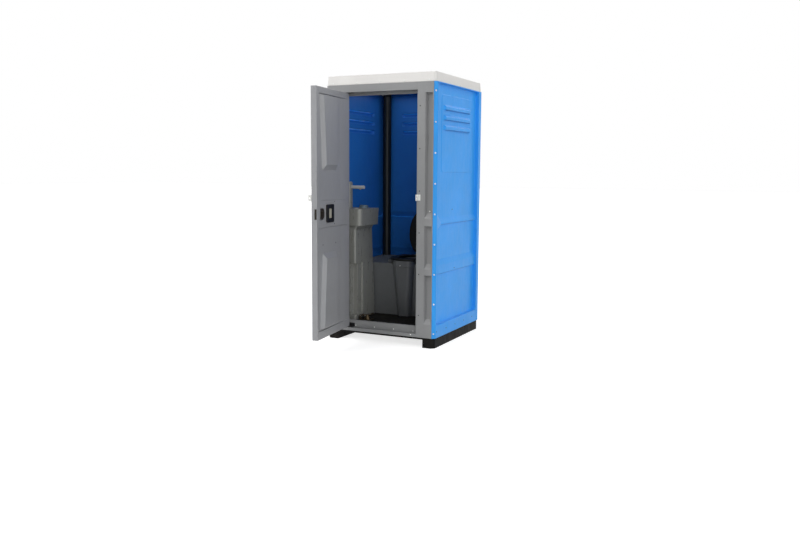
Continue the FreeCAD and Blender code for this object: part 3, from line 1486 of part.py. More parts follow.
def filler_cap():
    """The screw cap over the filler neck, with a bar to turn it by."""
    low = S.basin_top + TOUCH
    x = -S.cap_along
    y = -S.cap_back
    outer = round_bar("cap_outer", S.cap_radius, S.cap_rise, x, y, low)
    inner = round_bar("cap_inner", S.cap_radius - S.cap_wall, S.cap_rise - S.cap_wall + OVER,
                      x, y, low - OVER)
    reach = S.cap_radius - S.cap_grip
    grip = block("cap_grip_bar", (x - reach, x + reach), (y - S.cap_grip / 2, y + S.cap_grip / 2),
                 (low + S.cap_rise - OVER, low + S.cap_rise + S.cap_wall))
    finish(cut("cap_solid", fuse("cap_whole", [outer, grip]), [inner]), "filler_cap")


def foot_pump():
    """The foot pump on the floor beside the wash stand."""
    x = -S.pump_along
    y = S.pump_front_in - HALF
    low = sill_floor
    top = low + S.pump_plate
    half = S.pedal_width / 2
    ear = half + OVER
    axis_x = x - S.pedal_arm
    axis_z = low + S.pedal_height
    tilt = amount(S.pedal_tilt)
    plate = block("pump_plate_block", (axis_x - S.ear_half, x + S.barrel_radius + S.pump_margin),
                  (y - ear - S.ear_half, y + ear + S.ear_half), (low, top))
    barrel = round_bar("pump_barrel", S.barrel_radius, S.barrel_rise, x, y, top)
    well = round_bar("pump_well", S.plunger_radius + S.pivot_fit, S.barrel_rise + OVER, x, y,
                     top + OVER)
    ears = [block("pump_ear_" + mark, (axis_x - S.ear_half, axis_x + S.ear_half), reach,
                  (top, axis_z + S.ear_half))
            for mark, reach in (("front", (y - ear - S.ear_sheet, y - ear)),
                                ("rear", (y + ear, y + ear + S.ear_sheet)))]
    pin_long = (ear + S.ear_sheet + OVER) * 2
    ear_hole = round_bar("pump_ear_hole", S.pedal_pin + S.pivot_fit, pin_long, axis_x,
                         y - pin_long / 2, axis_z, "y")
    finish(cut("pump_solid", fuse("pump_whole", [plate, barrel] + ears), [well, ear_hole]),
           "pump_body")
    slope = math.tan(math.radians(tilt))
    under = S.pedal_sheet / 2 / math.cos(math.radians(tilt))
    crest = axis_z + (S.pedal_arm - S.plunger_radius) * slope - under - TOUCH
    finish(round_bar("plunger_solid", S.plunger_radius, S.plunger_rise, x, y,
                     crest - S.plunger_rise), "pump_plunger")
    sheet_z = (-S.pedal_sheet / 2, S.pedal_sheet / 2)
    tread = block("pedal_tread", (0, S.pedal_reach), (-half, half), sheet_z)
    toe = block("pedal_toe_lip", (S.pedal_reach - S.pedal_sheet, S.pedal_reach), (-half, half),
                (sheet_z[0], S.pedal_toe))
    knuckle = round_bar("pedal_knuckle", S.pedal_pin + S.pedal_sheet, S.pedal_width, 0, -half, 0, "y")
    bore = round_bar("pedal_bore", S.pedal_pin + S.pivot_fit, S.pedal_width + 2 * OVER, 0,
                     -half - OVER, 0, "y")
    pedal = cut("pedal_solid", fuse("pedal_whole", [tread, toe, knuckle]), [bore])
    raised = FreeCAD.Rotation(FreeCAD.Vector(0, 1, 0), -tilt)
    pedal.Placement = FreeCAD.Placement(FreeCAD.Vector(), raised)
    place(pedal, axis_x, y, axis_z)
    finish(pedal, "foot_pedal")
    finish(round_bar("pedal_pin_solid", S.pedal_pin, pin_long, axis_x, y - pin_long / 2, axis_z, "y"),
           "pedal_pin")
    wall = S.stand_flare - S.stand_face
    outlet = round_bar("outlet_bar", S.outlet_radius, x - wall, wall, y, top + S.outlet_up, "x")
    finish(cut("outlet_solid", outlet, [barrel]), "pump_outlet")


def fasteners():
    """Rivets and screws, each kind of one place as one group."""
    middle = (wall_end + HALF) / 2
    corners = [(-1, -1), (1, -1), (1, 1), (-1, 1)]
    rivets = []
    for number, (a, b) in enumerate(corners):
        facing = FreeCAD.Rotation(FreeCAD.Vector(0, 0, 1), FreeCAD.Vector(a, b, 0))
        for row in range(RIVET_ROWS):
            rivet = head("corner_rivet_%d_%d" % (number, row), S.rivet_radius, S.rivet_rise, 0, 0, 0)
            rivet.Placement = FreeCAD.Placement(FreeCAD.Vector(), facing)
            place(rivet, a * middle, b * middle, S.rivet_top - S.rivet_pitch * row)
            rivets.append(rivet)
    finish(group("corner_rivets_set", rivets), "corner_rivets")
    skirt = HALF - S.roof_inset - S.roof_draft * S.roof_rivet_rise / S.roof_edge
    lean = amount(S.roof_draft) / amount(S.roof_edge)
    rivets = []
    for number, (a, b) in enumerate([(0, -1), (1, 0), (0, 1), (-1, 0)]):
        facing = FreeCAD.Rotation(FreeCAD.Vector(0, 0, 1), FreeCAD.Vector(a, b, lean))
        for place_number in range(ROOF_RIVETS):
            along = S.roof_rivet_pitch * (place_number - (ROOF_RIVETS - 1) / 2)
            rivet = head("roof_rivet_%d_%d" % (number, place_number), S.rivet_radius, S.rivet_rise,
                         0, 0, 0)
            rivet.Placement = FreeCAD.Placement(FreeCAD.Vector(), facing)
            place(rivet, a * skirt - b * along, b * skirt + a * along, S.wall_top + S.roof_rivet_rise)
            rivets.append(rivet)
    finish(group("roof_rivets_set", rivets), "roof_rivets")
    small = S.small_rivet_radius
    sill_run = opening_left + opening_right - S.sill_rivet_in - S.sill_rivet_out
    sill_pitch = sill_run / (SILL_RIVETS - 1)
    rivets = [head("sill_rivet_%d" % n, small, S.rivet_rise,
                   sill_pitch * n + S.sill_rivet_in - opening_left, stop_front,
                   S.opening_bottom + S.sill_rivet_up)
              for n in range(SILL_RIVETS)]
    rivets.append(head("lip_rivet", small, S.rivet_rise, opening_right - S.lip_rivet_in, front,
                       S.opening_bottom - S.lip_rivet_down))
    for side, edge in ((1, frame_right), (-1, frame_left)):
        rivets.append(head("post_rivet_%d" % side, small, S.rivet_rise,
                           side * (edge + S.post_rivet), front + S.pocket_depth,
                           S.pocket_1_low + S.pocket_ramp + S.post_rivet_up))
    finish(group("front_rivets_set", rivets), "front_rivets")
    screws = []
    for side, edge in ((1, opening_right), (-1, opening_left)):
        for row in range(FRAME_SCREWS):
            screws.append(head("frame_screw_%d_%d" % (side, row), S.screw_radius, S.screw_rise,
                               side * (edge + S.frame_screw_in), front,
                               S.frame_screw_low + S.frame_screw_pitch * row))
    finish(group("frame_screws_set", screws), "frame_screws")
    screws = []
    for quarter in (1, 2, 3):
        for number in range(FOOT_SCREWS):
            along = S.foot_screw_pitch * number + S.foot_screw_in - HALF
            screws.append(wall_head("foot_screw_%d_%d" % (quarter, number), along, front,
                                    S.foot_screw_height, quarter))
        screws.append(wall_head("band_screw_%d" % quarter, -S.band_screw_left,
                                field_floor - S.band_raise, S.low_band_low + S.band_screw_up,
                                quarter))
        screws.append(wall_head("field_screw_%d" % quarter, -S.mark_left, field_floor,
                                S.mid_band_high + S.mark_up, quarter))
    finish(group("panel_screws_set", screws), "panel_screws")


def wall_head(name, along, face, height, quarter):
    """A screw head on a blue wall, given where it would sit on the front."""
    item = head(name, S.screw_radius, S.screw_rise, 0, 0, 0)
    outward = FreeCAD.Rotation(FreeCAD.Vector(0, 0, 1), SQUARE_TURN * quarter)
    item.Placement = FreeCAD.Placement(FreeCAD.Vector(), outward.multiply(AXES["out"]))
    spots = {1: (-1 * face, along), 2: (-1 * along, -1 * face), 3: (face, -1 * along)}
    place(item, spots[quarter][0], spots[quarter][1], height)
    return item


base()
pressed_wall("side_panel_right", 1)
pressed_wall("rear_panel", 2)
pressed_wall("side_panel_left", 3)
front_post("front_post_right", frame_right, wall_end - S.lap_gap, False)
front_post("front_post_left", -wall_end, -frame_left, True)
door_frame()
door_pivots()
strike()
door_leaf()
latch()
door_fittings()
hasps()
roof()
vent()
waste_tank()
toilet_seat()
wash_stand()
tap()
filler_cap()
foot_pump()
fasteners()

doc.recompute()
failed = [item.Name for item in doc.Objects if "Invalid" in item.State or "Error" in item.State]
if failed:
    raise RuntimeError("objects not built: %s" % ", ".join(failed))
for item in sub_parts:
    if item.Shape.isNull() or not item.Shape.isValid() or not item.Shape.Solids:
        raise RuntimeError("sub-part not sound: %s" % item.Label)

os.makedirs("parts", exist_ok=True)
for item in sub_parts:
    item.Shape.exportStep("parts/%s.step" % item.Label)
print("%d sub-parts written" % len(sub_parts))
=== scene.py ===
"""Looks of the portable toilet cabin: materials, small details, light, floor and camera."""
import json
import math

import bmesh
import bpy
from mathutils import Matrix, Vector


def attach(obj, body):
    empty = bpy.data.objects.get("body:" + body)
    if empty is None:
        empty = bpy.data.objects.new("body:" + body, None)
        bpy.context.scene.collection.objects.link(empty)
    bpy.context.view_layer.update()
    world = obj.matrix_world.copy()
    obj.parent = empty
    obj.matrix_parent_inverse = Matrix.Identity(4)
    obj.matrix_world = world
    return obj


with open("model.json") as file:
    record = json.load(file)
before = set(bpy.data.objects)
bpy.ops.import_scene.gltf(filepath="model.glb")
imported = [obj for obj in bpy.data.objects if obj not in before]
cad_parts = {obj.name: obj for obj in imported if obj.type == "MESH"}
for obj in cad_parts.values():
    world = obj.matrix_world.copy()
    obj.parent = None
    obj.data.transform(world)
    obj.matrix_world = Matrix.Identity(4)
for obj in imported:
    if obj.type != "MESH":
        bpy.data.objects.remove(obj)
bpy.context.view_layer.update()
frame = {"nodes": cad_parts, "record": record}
NODES = frame["nodes"]
scene = bpy.context.scene


# Patterns on a plastic, as settings of a noise: scale is repeats in a metre, and a stretch below 1
# draws the pattern out along that axis
BROAD_PATCHES = dict(scale=2.3, detail=4.0, distortion=0.6)
FINE_MOTTLE = dict(scale=70.0, detail=3.0)
RUN_MARKS = dict(scale=26.0, detail=4.0, stretch=(1, 1, 0.045), roughness=0.6)
SPECKS = dict(scale=420.0, detail=2.0)
GRIME_PATCHES = dict(scale=9.0, detail=5.0, stretch=(1, 1, 0.5), roughness=0.65)
SCUFFS = dict(scale=34.0, detail=5.0, stretch=(1, 1, 0.3), roughness=0.7)
MOULD_GRAIN = dict(scale=900.0, detail=2.0)
SHEET_WAVES = dict(scale=3.1, detail=2.0, stretch=(1, 1, 0.6))

# Patterns on metal, on the vacancy disc and on the floor
TARNISH_PATCHES = dict(scale=120.0, detail=4.0, roughness=0.6)
SCRATCHES = dict(scale=700.0, detail=3.0, stretch=(1, 6, 1))
DISC_WEAR = dict(scale=60.0, detail=4.0)
DISC_SCUFFS = dict(scale=34.0, detail=5.0)
FLOOR_PATCHES = dict(scale=1.4, detail=3.0)

# Bumps: how strongly they show, and their depth in metres
GRAIN_STRENGTH = 0.25
GRAIN_DEPTH = 0.0004
WAVE_DEPTH = 0.02
SCRATCH_STRENGTH = 0.4
SCRATCH_DEPTH = 0.0003
SMALL_EDGE = 0.0006
BEVEL_SAMPLES = 6

# Wear: how much the fine mottle and the run marks show, the share of its colour that worn plastic
# keeps under a pale film, and how far its roughness goes down and up
MOTTLE_STRENGTH = 0.35
RUN_STRENGTH = 4
WORN_SHARE = 0.86
WORN_FILM = (0.02, 0.02, 0.018)
SMOOTHER = 0.07
ROUGHER = 0.12
SPECK_COLOUR = (0.4, 0.4, 0.4, 1)

# Dirt thins out upwards and ends at this height, in metres
DIRT_COLOUR = (0.12, 0.105, 0.085, 1)
DIRT_TOP = 0.45

# The share of each channel that tarnished metal keeps, and how much rougher it is
TARNISH_SHARES = (0.45, 0.43, 0.4)
TARNISH_ROUGHER = 0.4

# The walls' inner faces lie this far from the cabin's middle, in metres. A point counts as on the inner
# side when it lies no farther out, or when its surface faces the middle from nearly as far. Each pair
# # says where that begins and where it is full. There the walls get a deeper colour as painted shade for
# # the shaded cabin interior. In broad patches it is deeper still, by the last share
INNER_FACE = 0.483
INNER_REACH = (INNER_FACE + 0.002, INNER_FACE + 0.001)
INNER_FACING = (0.04 - INNER_FACE, 0.03 - INNER_FACE)
INNER_SHADE_DEEPER = 0.86

# The vacancy disc's two colours, each clean and worn, and the width of their border in metres
DISC_WHITES = ((226, 226, 222), (208, 207, 200))
DISC_REDS = ((190, 40, 36), (164, 38, 34))
DISC_BORDER = 0.0002
DISC_ROUGHNESS = (0.25, 0.42)

# The finger pocket behind the inner handle, in the shut leaf's own frame: metres from its pivot line
POCKET_X = (0.4105, 0.4625)
POCKET_Y = (0.0055, 0.0335)
POCKET_Z = (1.0895, 1.1665)
LINING_WALL = 0.0012
LINING_CORNER = 0.004
LINING_CORNER_STEPS = 3

# Floor and surroundings. The glow is what the floor gives to the eye, on top of the light it gets
FLOOR_HALF = 60
FLOOR_GREYS = ((198, 198, 197), (206, 206, 206))
FLOOR_GLOW = 0.74
FLOOR_ROUGHNESS = 0.9
FLOOR_SPECULAR = 0.1
ROOM_COLOUR = (0.97, 0.98, 1.0, 1)
ROOM_LIGHT = 0.02

# Lamps: the suns' width across the sky in degrees, and the roof lamp in metres and watts
SUN_WIDTH = 50
ROOF_LAMP_SIZE = 0.85
ROOF_LAMP_HEIGHT = 2.17
ROOF_LAMP_POWER = 1.6

# The photograph's camera, worked out from points on the object. Lengths in pixels of the picture,
# place in metres, and degrees to the left, downwards and about its own axis
PICTURE_WIDTH = 800
FOCAL_LENGTH = 802.368
CAMERA_PLACE = (3.1422, -6.5291, 1.4693)
CAMERA_TURN = (26.0887, 6.7584, 0.3738)

# Its sensor in millimetres, and the nearest and farthest things it sees in metres
SENSOR_WIDTH = 36
NEAREST = 0.05
FARTHEST = 300

# A Mix node has its sockets for numbers, vectors and colours. These are the ones for colours
MIX_COLOURS = (6, 7)
MIX_RESULT = 2


def linear(*rgb):
    """A colour given as 0 to 255 per channel, in linear values by the sRGB curve."""
    out = []
    for v in rgb:
        c = v / 255
        out.append(c / 12.92 if c <= 0.04045 else ((c + 0.055) / 1.055) ** 2.4)
    return (*out, 1.0)


def shade(colour, share):
    """A linear colour made deeper or lighter by a share."""
    return (*(min(1, v * share) for v in colour[:3]), 1)


def joint(name):
    """A joint of the part's record, by its name."""
    return next(j for j in frame["record"]["behaviour"]["joints"] if j["name"] == name)


class Nodes:
    """A node tree, emptied, with short calls to add and join its nodes."""

    def __init__(self, tree):
        self.tree = tree
        tree.nodes.clear()

    def add(self, kind, **settings):
        node = self.tree.nodes.new(kind)
        for key, value in settings.items():
            setattr(node, key, value)
        return node

    def join(self, a, b):
        self.tree.links.new(a, b)

    def math(self, kind, a, b):
        node = self.add("ShaderNodeMath", operation=kind)
        for slot, value in enumerate((a, b)):
            if isinstance(value, (int, float)):
                node.inputs[slot].default_value = value
            else:
                self.join(value, node.inputs[slot])
        return node.outputs[0]

    def seen(self):
        """1 for what the eye sees straight, mirrored or through glass, 0 for the light on things."""
        path = self.add("ShaderNodeLightPath")
        return self.math("MAXIMUM", self.math("MAXIMUM", path.outputs["Is Camera Ray"],
                                              path.outputs["Is Glossy Ray"]),
                         path.outputs["Is Transmission Ray"])


class Shader(Nodes):
    """The node tree of one new material, around its surface shader."""

    def __init__(self, name):
        self.material = bpy.data.materials.new(name)
        self.material.use_nodes = True
        super().__init__(self.material.node_tree)
        self.bsdf = self.add("ShaderNodeBsdfPrincipled")
        out = self.add("ShaderNodeOutputMaterial")
        self.join(self.bsdf.outputs[0], out.inputs[0])
        coordinates = self.add("ShaderNodeTexCoord")
        self.place = coordinates.outputs["Object"]
        self.normal = coordinates.outputs["Normal"]

    def noise(self, scale, detail, stretch=(1, 1, 1), roughness=0.5, distortion=0.0):
        mapping = self.add("ShaderNodeMapping")
        mapping.inputs["Scale"].default_value = stretch
        self.join(self.place, mapping.inputs[0])
        node = self.add("ShaderNodeTexNoise")
        node.inputs["Scale"].default_value = scale
        node.inputs["Detail"].default_value = detail
        node.inputs["Roughness"].default_value = roughness
        node.inputs["Distortion"].default_value = distortion
        self.join(mapping.outputs[0], node.inputs["Vector"])
        return node.outputs["Fac"]

    def fit(self, value, low, high, to_low=0.0, to_high=1.0):
        """A value spread so that low gives to_low and high gives to_high, and held beyond them."""
        node = self.add("ShaderNodeMapRange")
        node.inputs["From Min"].default_value = low
        node.inputs["From Max"].default_value = high
        node.inputs["To Min"].default_value = to_low
        node.inputs["To Max"].default_value = to_high
        self.join(value, node.inputs["Value"])
        return node.outputs[0]

    def mix(self, factor, a, b):
        node = self.add("ShaderNodeMix", data_type="RGBA")
        self.join(factor, node.inputs["Factor"])
        for slot, value in zip(MIX_COLOURS, (a, b)):
            if isinstance(value, tuple):
                node.inputs[slot].default_value = value
            else:
                self.join(value, node.inputs[slot])
        return node.outputs[MIX_RESULT]

    def split(self, vector):
        """The x, y and z of a vector."""
        node = self.add("ShaderNodeSeparateXYZ")
        self.join(vector, node.inputs[0])
        return node.outputs

    def grain(self):
        """The fine bumps that a mould leaves, as a layer for bumps."""
        return self.noise(**MOULD_GRAIN), GRAIN_STRENGTH, GRAIN_DEPTH

    def bumps(self, soft, *layers):
        """Edges softened to a radius, then bump layers as (height, strength, distance)."""
        edge = self.add("ShaderNodeBevel", samples=BEVEL_SAMPLES)
        edge.inputs["Radius"].default_value = soft
        normal = edge.outputs[0]
        for height, strength, distance in layers:
            node = self.add("ShaderNodeBump")
            node.inputs["Strength"].default_value = strength
            node.inputs["Distance"].default_value = distance
            self.join(height, node.inputs["Height"])
            self.join(normal, node.inputs["Normal"])
            normal = node.outputs[0]
        self.join(normal, self.bsdf.inputs["Normal"])


def inner_shade_mask(s):
    """1 on the inner faces of the walls, where a deeper colour is painted as shade, 0 on their outer
    ones.
    """
    x, y, _ = s.split(s.place)
    reach = s.math("MAXIMUM", s.math("ABSOLUTE", x, 0), s.math("ABSOLUTE", y, 0))
    level = s.add("ShaderNodeMapping")
    level.inputs["Scale"].default_value = (1, 1, 0)
    s.join(s.place, level.inputs[0])
    outward = s.add("ShaderNodeVectorMath", operation="DOT_PRODUCT")
    s.join(level.outputs[0], outward.inputs[0])
    s.join(s.normal, outward.inputs[1])
    return s.math("MAXIMUM", s.fit(reach, *INNER_REACH),
                  s.fit(outward.outputs["Value"], *INNER_FACING))


def plastic(name, colour, rough, mottle, streak, grime=0.0, wave=0.0, specular=0.5, speckle=0.0,
            soft=0.0015, painted_inner_shade=None):
    """Moulded plastic, uneven in colour and gloss, with faint run marks and a fine grain.

    rough is its roughness. mottle, streak and speckle say how much its tone wanders and how strong
    its run marks and pale specks are, grime how dirty it is near the ground, and wave how wavy a large
    sheet is. Edges are softened to the radius soft, in metres. The colour given for the inner faces of
    the walls is a deeper one, painted shade for the shaded cabin interior, which the lamp under the
    roof lights too much."""
    s = Shader(name)
    light = shade(colour, 1 + mottle)
    deep = shade(colour, 1 - mottle)
    broad = s.noise(**BROAD_PATCHES)
    tone = s.mix(s.fit(broad, low=0.3, high=0.7), deep, light)
    mottled = s.fit(s.noise(**FINE_MOTTLE), low=0.35, high=0.75, to_high=MOTTLE_STRENGTH)
    tone = s.mix(mottled, tone, deep)
    runs = s.fit(s.noise(**RUN_MARKS), low=0.56, high=0.8, to_high=streak * RUN_STRENGTH)
    worn = (*(v * WORN_SHARE + film for v, film in zip(colour, WORN_FILM)), 1)
    tone = s.mix(runs, tone, worn)
    # Painted shade: the inner faces of the walls get a deeper colour than the outer ones, and in broad
    # patches a colour deeper still.
    if painted_inner_shade:
        inner_shade_tone = s.mix(s.fit(broad, low=0.25, high=0.75), painted_inner_shade, shade(painted_inner_shade, INNER_SHADE_DEEPER))
        tone = s.mix(inner_shade_mask(s), tone, inner_shade_tone)
    if speckle:
        specks = s.fit(s.noise(**SPECKS), low=0.66, high=0.74, to_high=speckle)
        tone = s.mix(specks, tone, SPECK_COLOUR)
    if grime:
        _, _, z = s.split(s.place)
        near_ground = s.fit(z, low=DIRT_TOP, high=0.0)
        patches = s.fit(s.noise(**GRIME_PATCHES), low=0.35, high=0.75)
        dirt = s.math("MULTIPLY", s.math("MULTIPLY", near_ground, patches), grime)
        tone = s.mix(dirt, tone, DIRT_COLOUR)
    s.join(tone, s.bsdf.inputs["Base Color"])
    gloss = s.fit(s.noise(**SCUFFS), low=0.3, high=0.75, to_low=rough - SMOOTHER, to_high=rough + ROUGHER)
    s.join(gloss, s.bsdf.inputs["Roughness"])
    s.bsdf.inputs["Specular IOR Level"].default_value = specular
    layers = [s.grain()]
    if wave:
        layers.insert(0, (s.noise(**SHEET_WAVES), wave, WAVE_DEPTH))
    s.bumps(soft, *layers)
    return s.material


def metal(name, colour, rough, tarnish=0.35):
    """Metal with a dull, patchy film and fine scratches."""
    s = Shader(name)
    film = s.fit(s.noise(**TARNISH_PATCHES), low=0.4, high=0.7, to_high=tarnish)
    tarnished = (*(v * share for v, share in zip(colour, TARNISH_SHARES)), 1)
    s.join(s.mix(film, colour, tarnished), s.bsdf.inputs["Base Color"])
    s.bsdf.inputs["Metallic"].default_value = 1.0
    gloss = s.fit(film, low=0, high=1, to_low=rough, to_high=rough + TARNISH_ROUGHER)
    s.join(gloss, s.bsdf.inputs["Roughness"])
    s.bumps(SMALL_EDGE, (s.noise(**SCRATCHES), SCRATCH_STRENGTH, SCRATCH_DEPTH))
    return s.material


def indicator_plastic():
    """White plastic whose two side quarters are red. They come behind the slot as the disc turns."""
    s = Shader("indicator_plastic")
    away = s.add("ShaderNodeVectorMath", operation="SUBTRACT")
    s.join(s.place, away.inputs[0])
    away.inputs[1].default_value = joint("disc_turn")["pos_m"]
    _, y, z = s.split(away.outputs[0])
    across = s.math("ABSOLUTE", y, 0)
    up = s.math("ABSOLUTE", z, 0)
    quarter = s.fit(s.math("SUBTRACT", across, up), low=0, high=DISC_BORDER)
    worn = s.fit(s.noise(**DISC_WEAR), low=0.35, high=0.75)
    white, red = (s.mix(worn, linear(*clean), linear(*faded))
                  for clean, faded in (DISC_WHITES, DISC_REDS))
    s.join(s.mix(quarter, white, red), s.bsdf.inputs["Base Color"])
    smooth, dull = DISC_ROUGHNESS
    gloss = s.fit(s.noise(**DISC_SCUFFS), low=0.3, high=0.75, to_low=smooth, to_high=dull)
    s.join(gloss, s.bsdf.inputs["Roughness"])
    s.bumps(SMALL_EDGE, s.grain())
    return s.material


MATERIALS = {
    # The blue walls' deeper colour for their inner faces is painted shade for the shaded cabin interior.
    "blue_wall": plastic("blue_wall_plastic", linear(48, 158, 243), rough=0.4, mottle=0.06, streak=0.03,
                         grime=0.12, wave=0.08, specular=0.27, soft=0.008, painted_inner_shade=linear(38, 112, 196)),
    "grey_frame": plastic("grey_frame_plastic", linear(137, 138, 139), rough=0.46, mottle=0.06,
                          streak=0.05, grime=0.15, wave=0.06, soft=0.005),
    "grey_leaf": plastic("grey_leaf_plastic", linear(150, 151, 154), rough=0.42, mottle=0.05,
                         streak=0.05, grime=0.12, wave=0.08, soft=0.006),
    "white_roof": plastic("white_roof_plastic", linear(224, 222, 219), rough=0.5, mottle=0.03,
                          streak=0.04, wave=0.05, soft=0.01),
    "black_base": plastic("black_base_plastic", linear(15, 15, 15), rough=0.62, mottle=0.15,
                          streak=0.08, grime=0.2, specular=0.08, soft=0.003),
    "black_fitting": plastic("black_fitting_plastic", linear(24, 24, 25), rough=0.4, mottle=0.1,
                             streak=0.03, specular=0.3),
    "latch_plastic": plastic("latch_plastic_brown", linear(40, 35, 30), rough=0.5, mottle=0.15,
                             streak=0.1, specular=0.25),
    "white_plastic": plastic("white_plastic_gloss", linear(226, 226, 222), rough=0.3, mottle=0.03,
                             streak=0.04),
    "white_rivet": plastic("white_rivet_plastic", linear(232, 232, 230), rough=0.28, mottle=0.03,
                           streak=0.02),
    "dark_screw": plastic("dark_screw_paint", linear(46, 47, 50), rough=0.4, mottle=0.2, streak=0.05,
                          specular=0.3),
    "steel": metal("steel_metal", linear(190, 190, 188), rough=0.3),
    "black_pipe": plastic("black_pipe_plastic", linear(22, 24, 25), rough=0.4, mottle=0.12,
                          streak=0.08, specular=0.3),
    "dark_grey_tank": plastic("tank_plastic", linear(102, 105, 107), rough=0.5, mottle=0.07,
                              streak=0.06, grime=0.25, speckle=0.2, soft=0.005),
    "black_seat": plastic("seat_plastic", linear(30, 31, 31), rough=0.5, mottle=0.1, streak=0.02,
                          specular=0.15),
    "grey_stand": plastic("stand_plastic", linear(133, 134, 129), rough=0.3, mottle=0.05, streak=0.05,
                          grime=0.15, wave=0.06, specular=0.6, soft=0.009),
    "dark_spout": plastic("spout_plastic", linear(188, 188, 184), rough=0.35, mottle=0.06, streak=0.05),
    "drain_steel": metal("drain_metal", linear(176, 176, 174), rough=0.32),
    "brass": metal("brass_metal", linear(196, 160, 92), rough=0.34),
    "slate_cap": plastic("cap_plastic", linear(104, 122, 134), rough=0.36, mottle=0.06, streak=0.04),
    "pump_metal": metal("pump_cast_metal", linear(104, 92, 74), rough=0.34, tarnish=0.7),
    "indicator": indicator_plastic(),
}

# Pieces that look unlike the rest of their slot: a screw with a bright head, and the disc's quarters
OWN_LOOKS = {"tank_screw": "white_rivet", "vacancy_disc": "indicator"}

for part in frame["record"]["subparts"]:
    node = NODES[part["node"]]
    look = OWN_LOOKS.get(part["node"], part["material_slot"])
    node.data.materials.clear()
    node.data.materials.append(MATERIALS[look])


def add_pocket_lining():
    """The pale lining of the finger pocket: a box that is open towards the hand, with round corners."""
    left, right = POCKET_X
    bottom, top = POCKET_Z
    outline = [(left, bottom), (right, bottom), (right, top), (left, top)]
    shape = bmesh.new()
    back, mouth = ([shape.verts.new((x, y, z)) for x, z in outline] for y in POCKET_Y)
    shape.faces.new(back)
    for k in range(len(outline)):
        after = (k + 1) % len(outline)
        shape.faces.new((back[k], mouth[k], mouth[after], back[after]))
    bmesh.ops.recalc_face_normals(shape, faces=shape.faces)
    corners = [edge for edge in shape.edges if len(edge.link_faces) == 2]
    bmesh.ops.bevel(shape, geom=corners, offset=LINING_CORNER, segments=LINING_CORNER_STEPS,
                    affect="EDGES", profile=0.5)
    door = joint("door_hinge")
    x, y, _ = door["pos_m"]
    shut_to_rest = Matrix.Rotation(-math.radians(door["range_deg"][1]), 4, "Z")
    bmesh.ops.transform(shape, matrix=Matrix.Translation((x, y, 0)) @ shut_to_rest, verts=shape.verts)
    mesh = bpy.data.meshes.new("pocket_lining")
    shape.to_mesh(mesh)
    shape.free()
    mesh.materials.append(plastic("pale_lining_plastic", linear(184, 182, 172), rough=0.4, mottle=0.05,
                                  streak=0.06))
    lining = bpy.data.objects.new("pocket_lining", mesh)
    scene.collection.objects.link(lining)
    wall = lining.modifiers.new("wall", "SOLIDIFY")
    wall.thickness = LINING_WALL
    wall.offset = 0
    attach(lining, "door")


def add_floor():
    """A wide floor that glows to the eye, so that it looks white, and lights nothing by its glow."""
    mesh = bpy.data.meshes.new("studio_floor")
    corners = [(-FLOOR_HALF, -FLOOR_HALF, 0), (FLOOR_HALF, -FLOOR_HALF, 0),
               (FLOOR_HALF, FLOOR_HALF, 0), (-FLOOR_HALF, FLOOR_HALF, 0)]
    mesh.from_pydata(corners, [], [(0, 1, 2, 3)])
    floor = bpy.data.objects.new("studio_floor", mesh)
    scene.collection.objects.link(floor)
    s = Shader("studio_floor_paint")
    dark, pale = (linear(*grey) for grey in FLOOR_GREYS)
    tone = s.mix(s.fit(s.noise(**FLOOR_PATCHES), low=0.3, high=0.7), dark, pale)
    s.join(tone, s.bsdf.inputs["Base Color"])
    s.bsdf.inputs["Roughness"].default_value = FLOOR_ROUGHNESS
    s.bsdf.inputs["Specular IOR Level"].default_value = FLOOR_SPECULAR
    s.bsdf.inputs["Emission Color"].default_value = (1, 1, 1, 1)
    s.join(s.math("MULTIPLY", s.seen(), FLOOR_GLOW), s.bsdf.inputs["Emission Strength"])
    mesh.materials.append(s.material)


def add_world():
    """White behind the object and in reflections, and a faint light from all round on the object."""
    world = bpy.data.worlds.new("studio")
    scene.world = world
    world.use_nodes = True
    n = Nodes(world.node_tree)
    white = n.add("ShaderNodeBackground")
    white.inputs["Color"].default_value = (1, 1, 1, 1)
    white.inputs["Strength"].default_value = 1.0
    room = n.add("ShaderNodeBackground")
    room.inputs["Color"].default_value = ROOM_COLOUR
    room.inputs["Strength"].default_value = ROOM_LIGHT
    either = n.add("ShaderNodeMixShader")
    out = n.add("ShaderNodeOutputWorld")
    n.join(n.seen(), either.inputs[0])
    n.join(room.outputs[0], either.inputs[1])
    n.join(white.outputs[0], either.inputs[2])
    n.join(either.outputs[0], out.inputs[0])


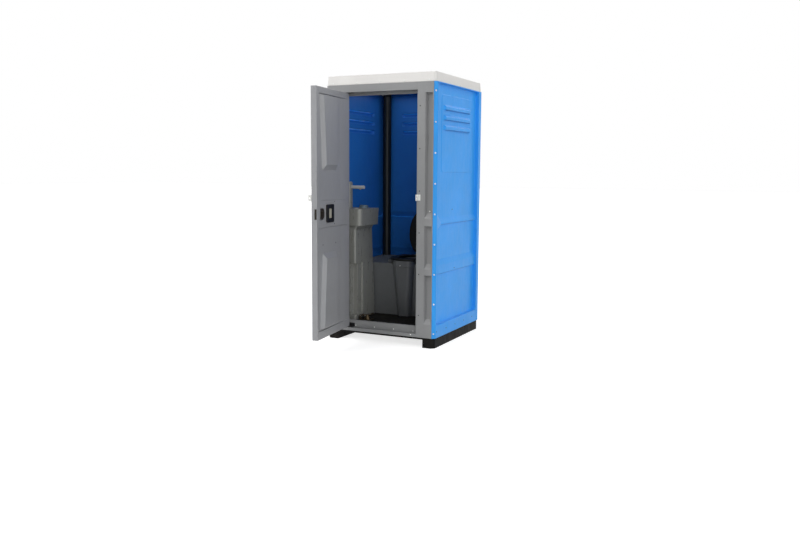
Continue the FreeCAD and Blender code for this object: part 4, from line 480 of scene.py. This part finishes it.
def add_sun(name, azimuth, height, strength):
    """A soft lamp that shines from azimuth (0 in front, 90 at the right) and height in degrees."""
    light = bpy.data.lights.new(name, "SUN")
    light.energy = strength
    light.angle = math.radians(SUN_WIDTH)
    item = bpy.data.objects.new(name, light)
    a = math.radians(azimuth)
    h = math.radians(height)
    towards = Vector((math.sin(a) * math.cos(h), -math.cos(a) * math.cos(h), math.sin(h)))
    item.matrix_world = towards.to_track_quat("Z", "Y").to_matrix().to_4x4()
    scene.collection.objects.link(item)


def add_roof_glow():
    """One wide lamp below the ceiling, in place of daylight through the roof."""
    light = bpy.data.lights.new("roof_glow", "AREA")
    light.shape = "SQUARE"
    light.size = ROOF_LAMP_SIZE
    light.energy = ROOF_LAMP_POWER
    item = bpy.data.objects.new("roof_glow", light)
    item.location = (0, 0, ROOF_LAMP_HEIGHT)
    item.visible_camera = False
    scene.collection.objects.link(item)


def add_camera():
    """The photograph's camera."""
    yaw, pitch, roll = (math.radians(v) for v in CAMERA_TURN)
    forward = Vector((-math.sin(yaw) * math.cos(pitch), math.cos(yaw) * math.cos(pitch),
                      -math.sin(pitch)))
    right = Vector((math.cos(yaw), math.sin(yaw), 0))
    up = right.cross(forward)
    turned_right = right * math.cos(roll) + up * math.sin(roll)
    turned_up = up * math.cos(roll) - right * math.sin(roll)
    camera = bpy.data.cameras.new("camera")
    camera.sensor_fit = "HORIZONTAL"
    camera.sensor_width = SENSOR_WIDTH
    camera.lens = FOCAL_LENGTH * SENSOR_WIDTH / PICTURE_WIDTH
    camera.clip_start = NEAREST
    camera.clip_end = FARTHEST
    item = bpy.data.objects.new("camera", camera)
    axes = Matrix((turned_right, turned_up, -forward)).transposed()
    item.matrix_world = Matrix.Translation(CAMERA_PLACE) @ axes.to_4x4()
    scene.collection.objects.link(item)
    scene.camera = item


add_pocket_lining()
add_floor()
add_world()
add_sun("key_light", azimuth=-48, height=38, strength=2.5)
add_sun("right_light", azimuth=45, height=20, strength=1.2)
add_sun("side_light", azimuth=85, height=20, strength=0.66)
add_sun("rear_light", azimuth=165, height=40, strength=1.1)
add_roof_glow()
add_camera()
scene.view_settings.view_transform = "Standard"
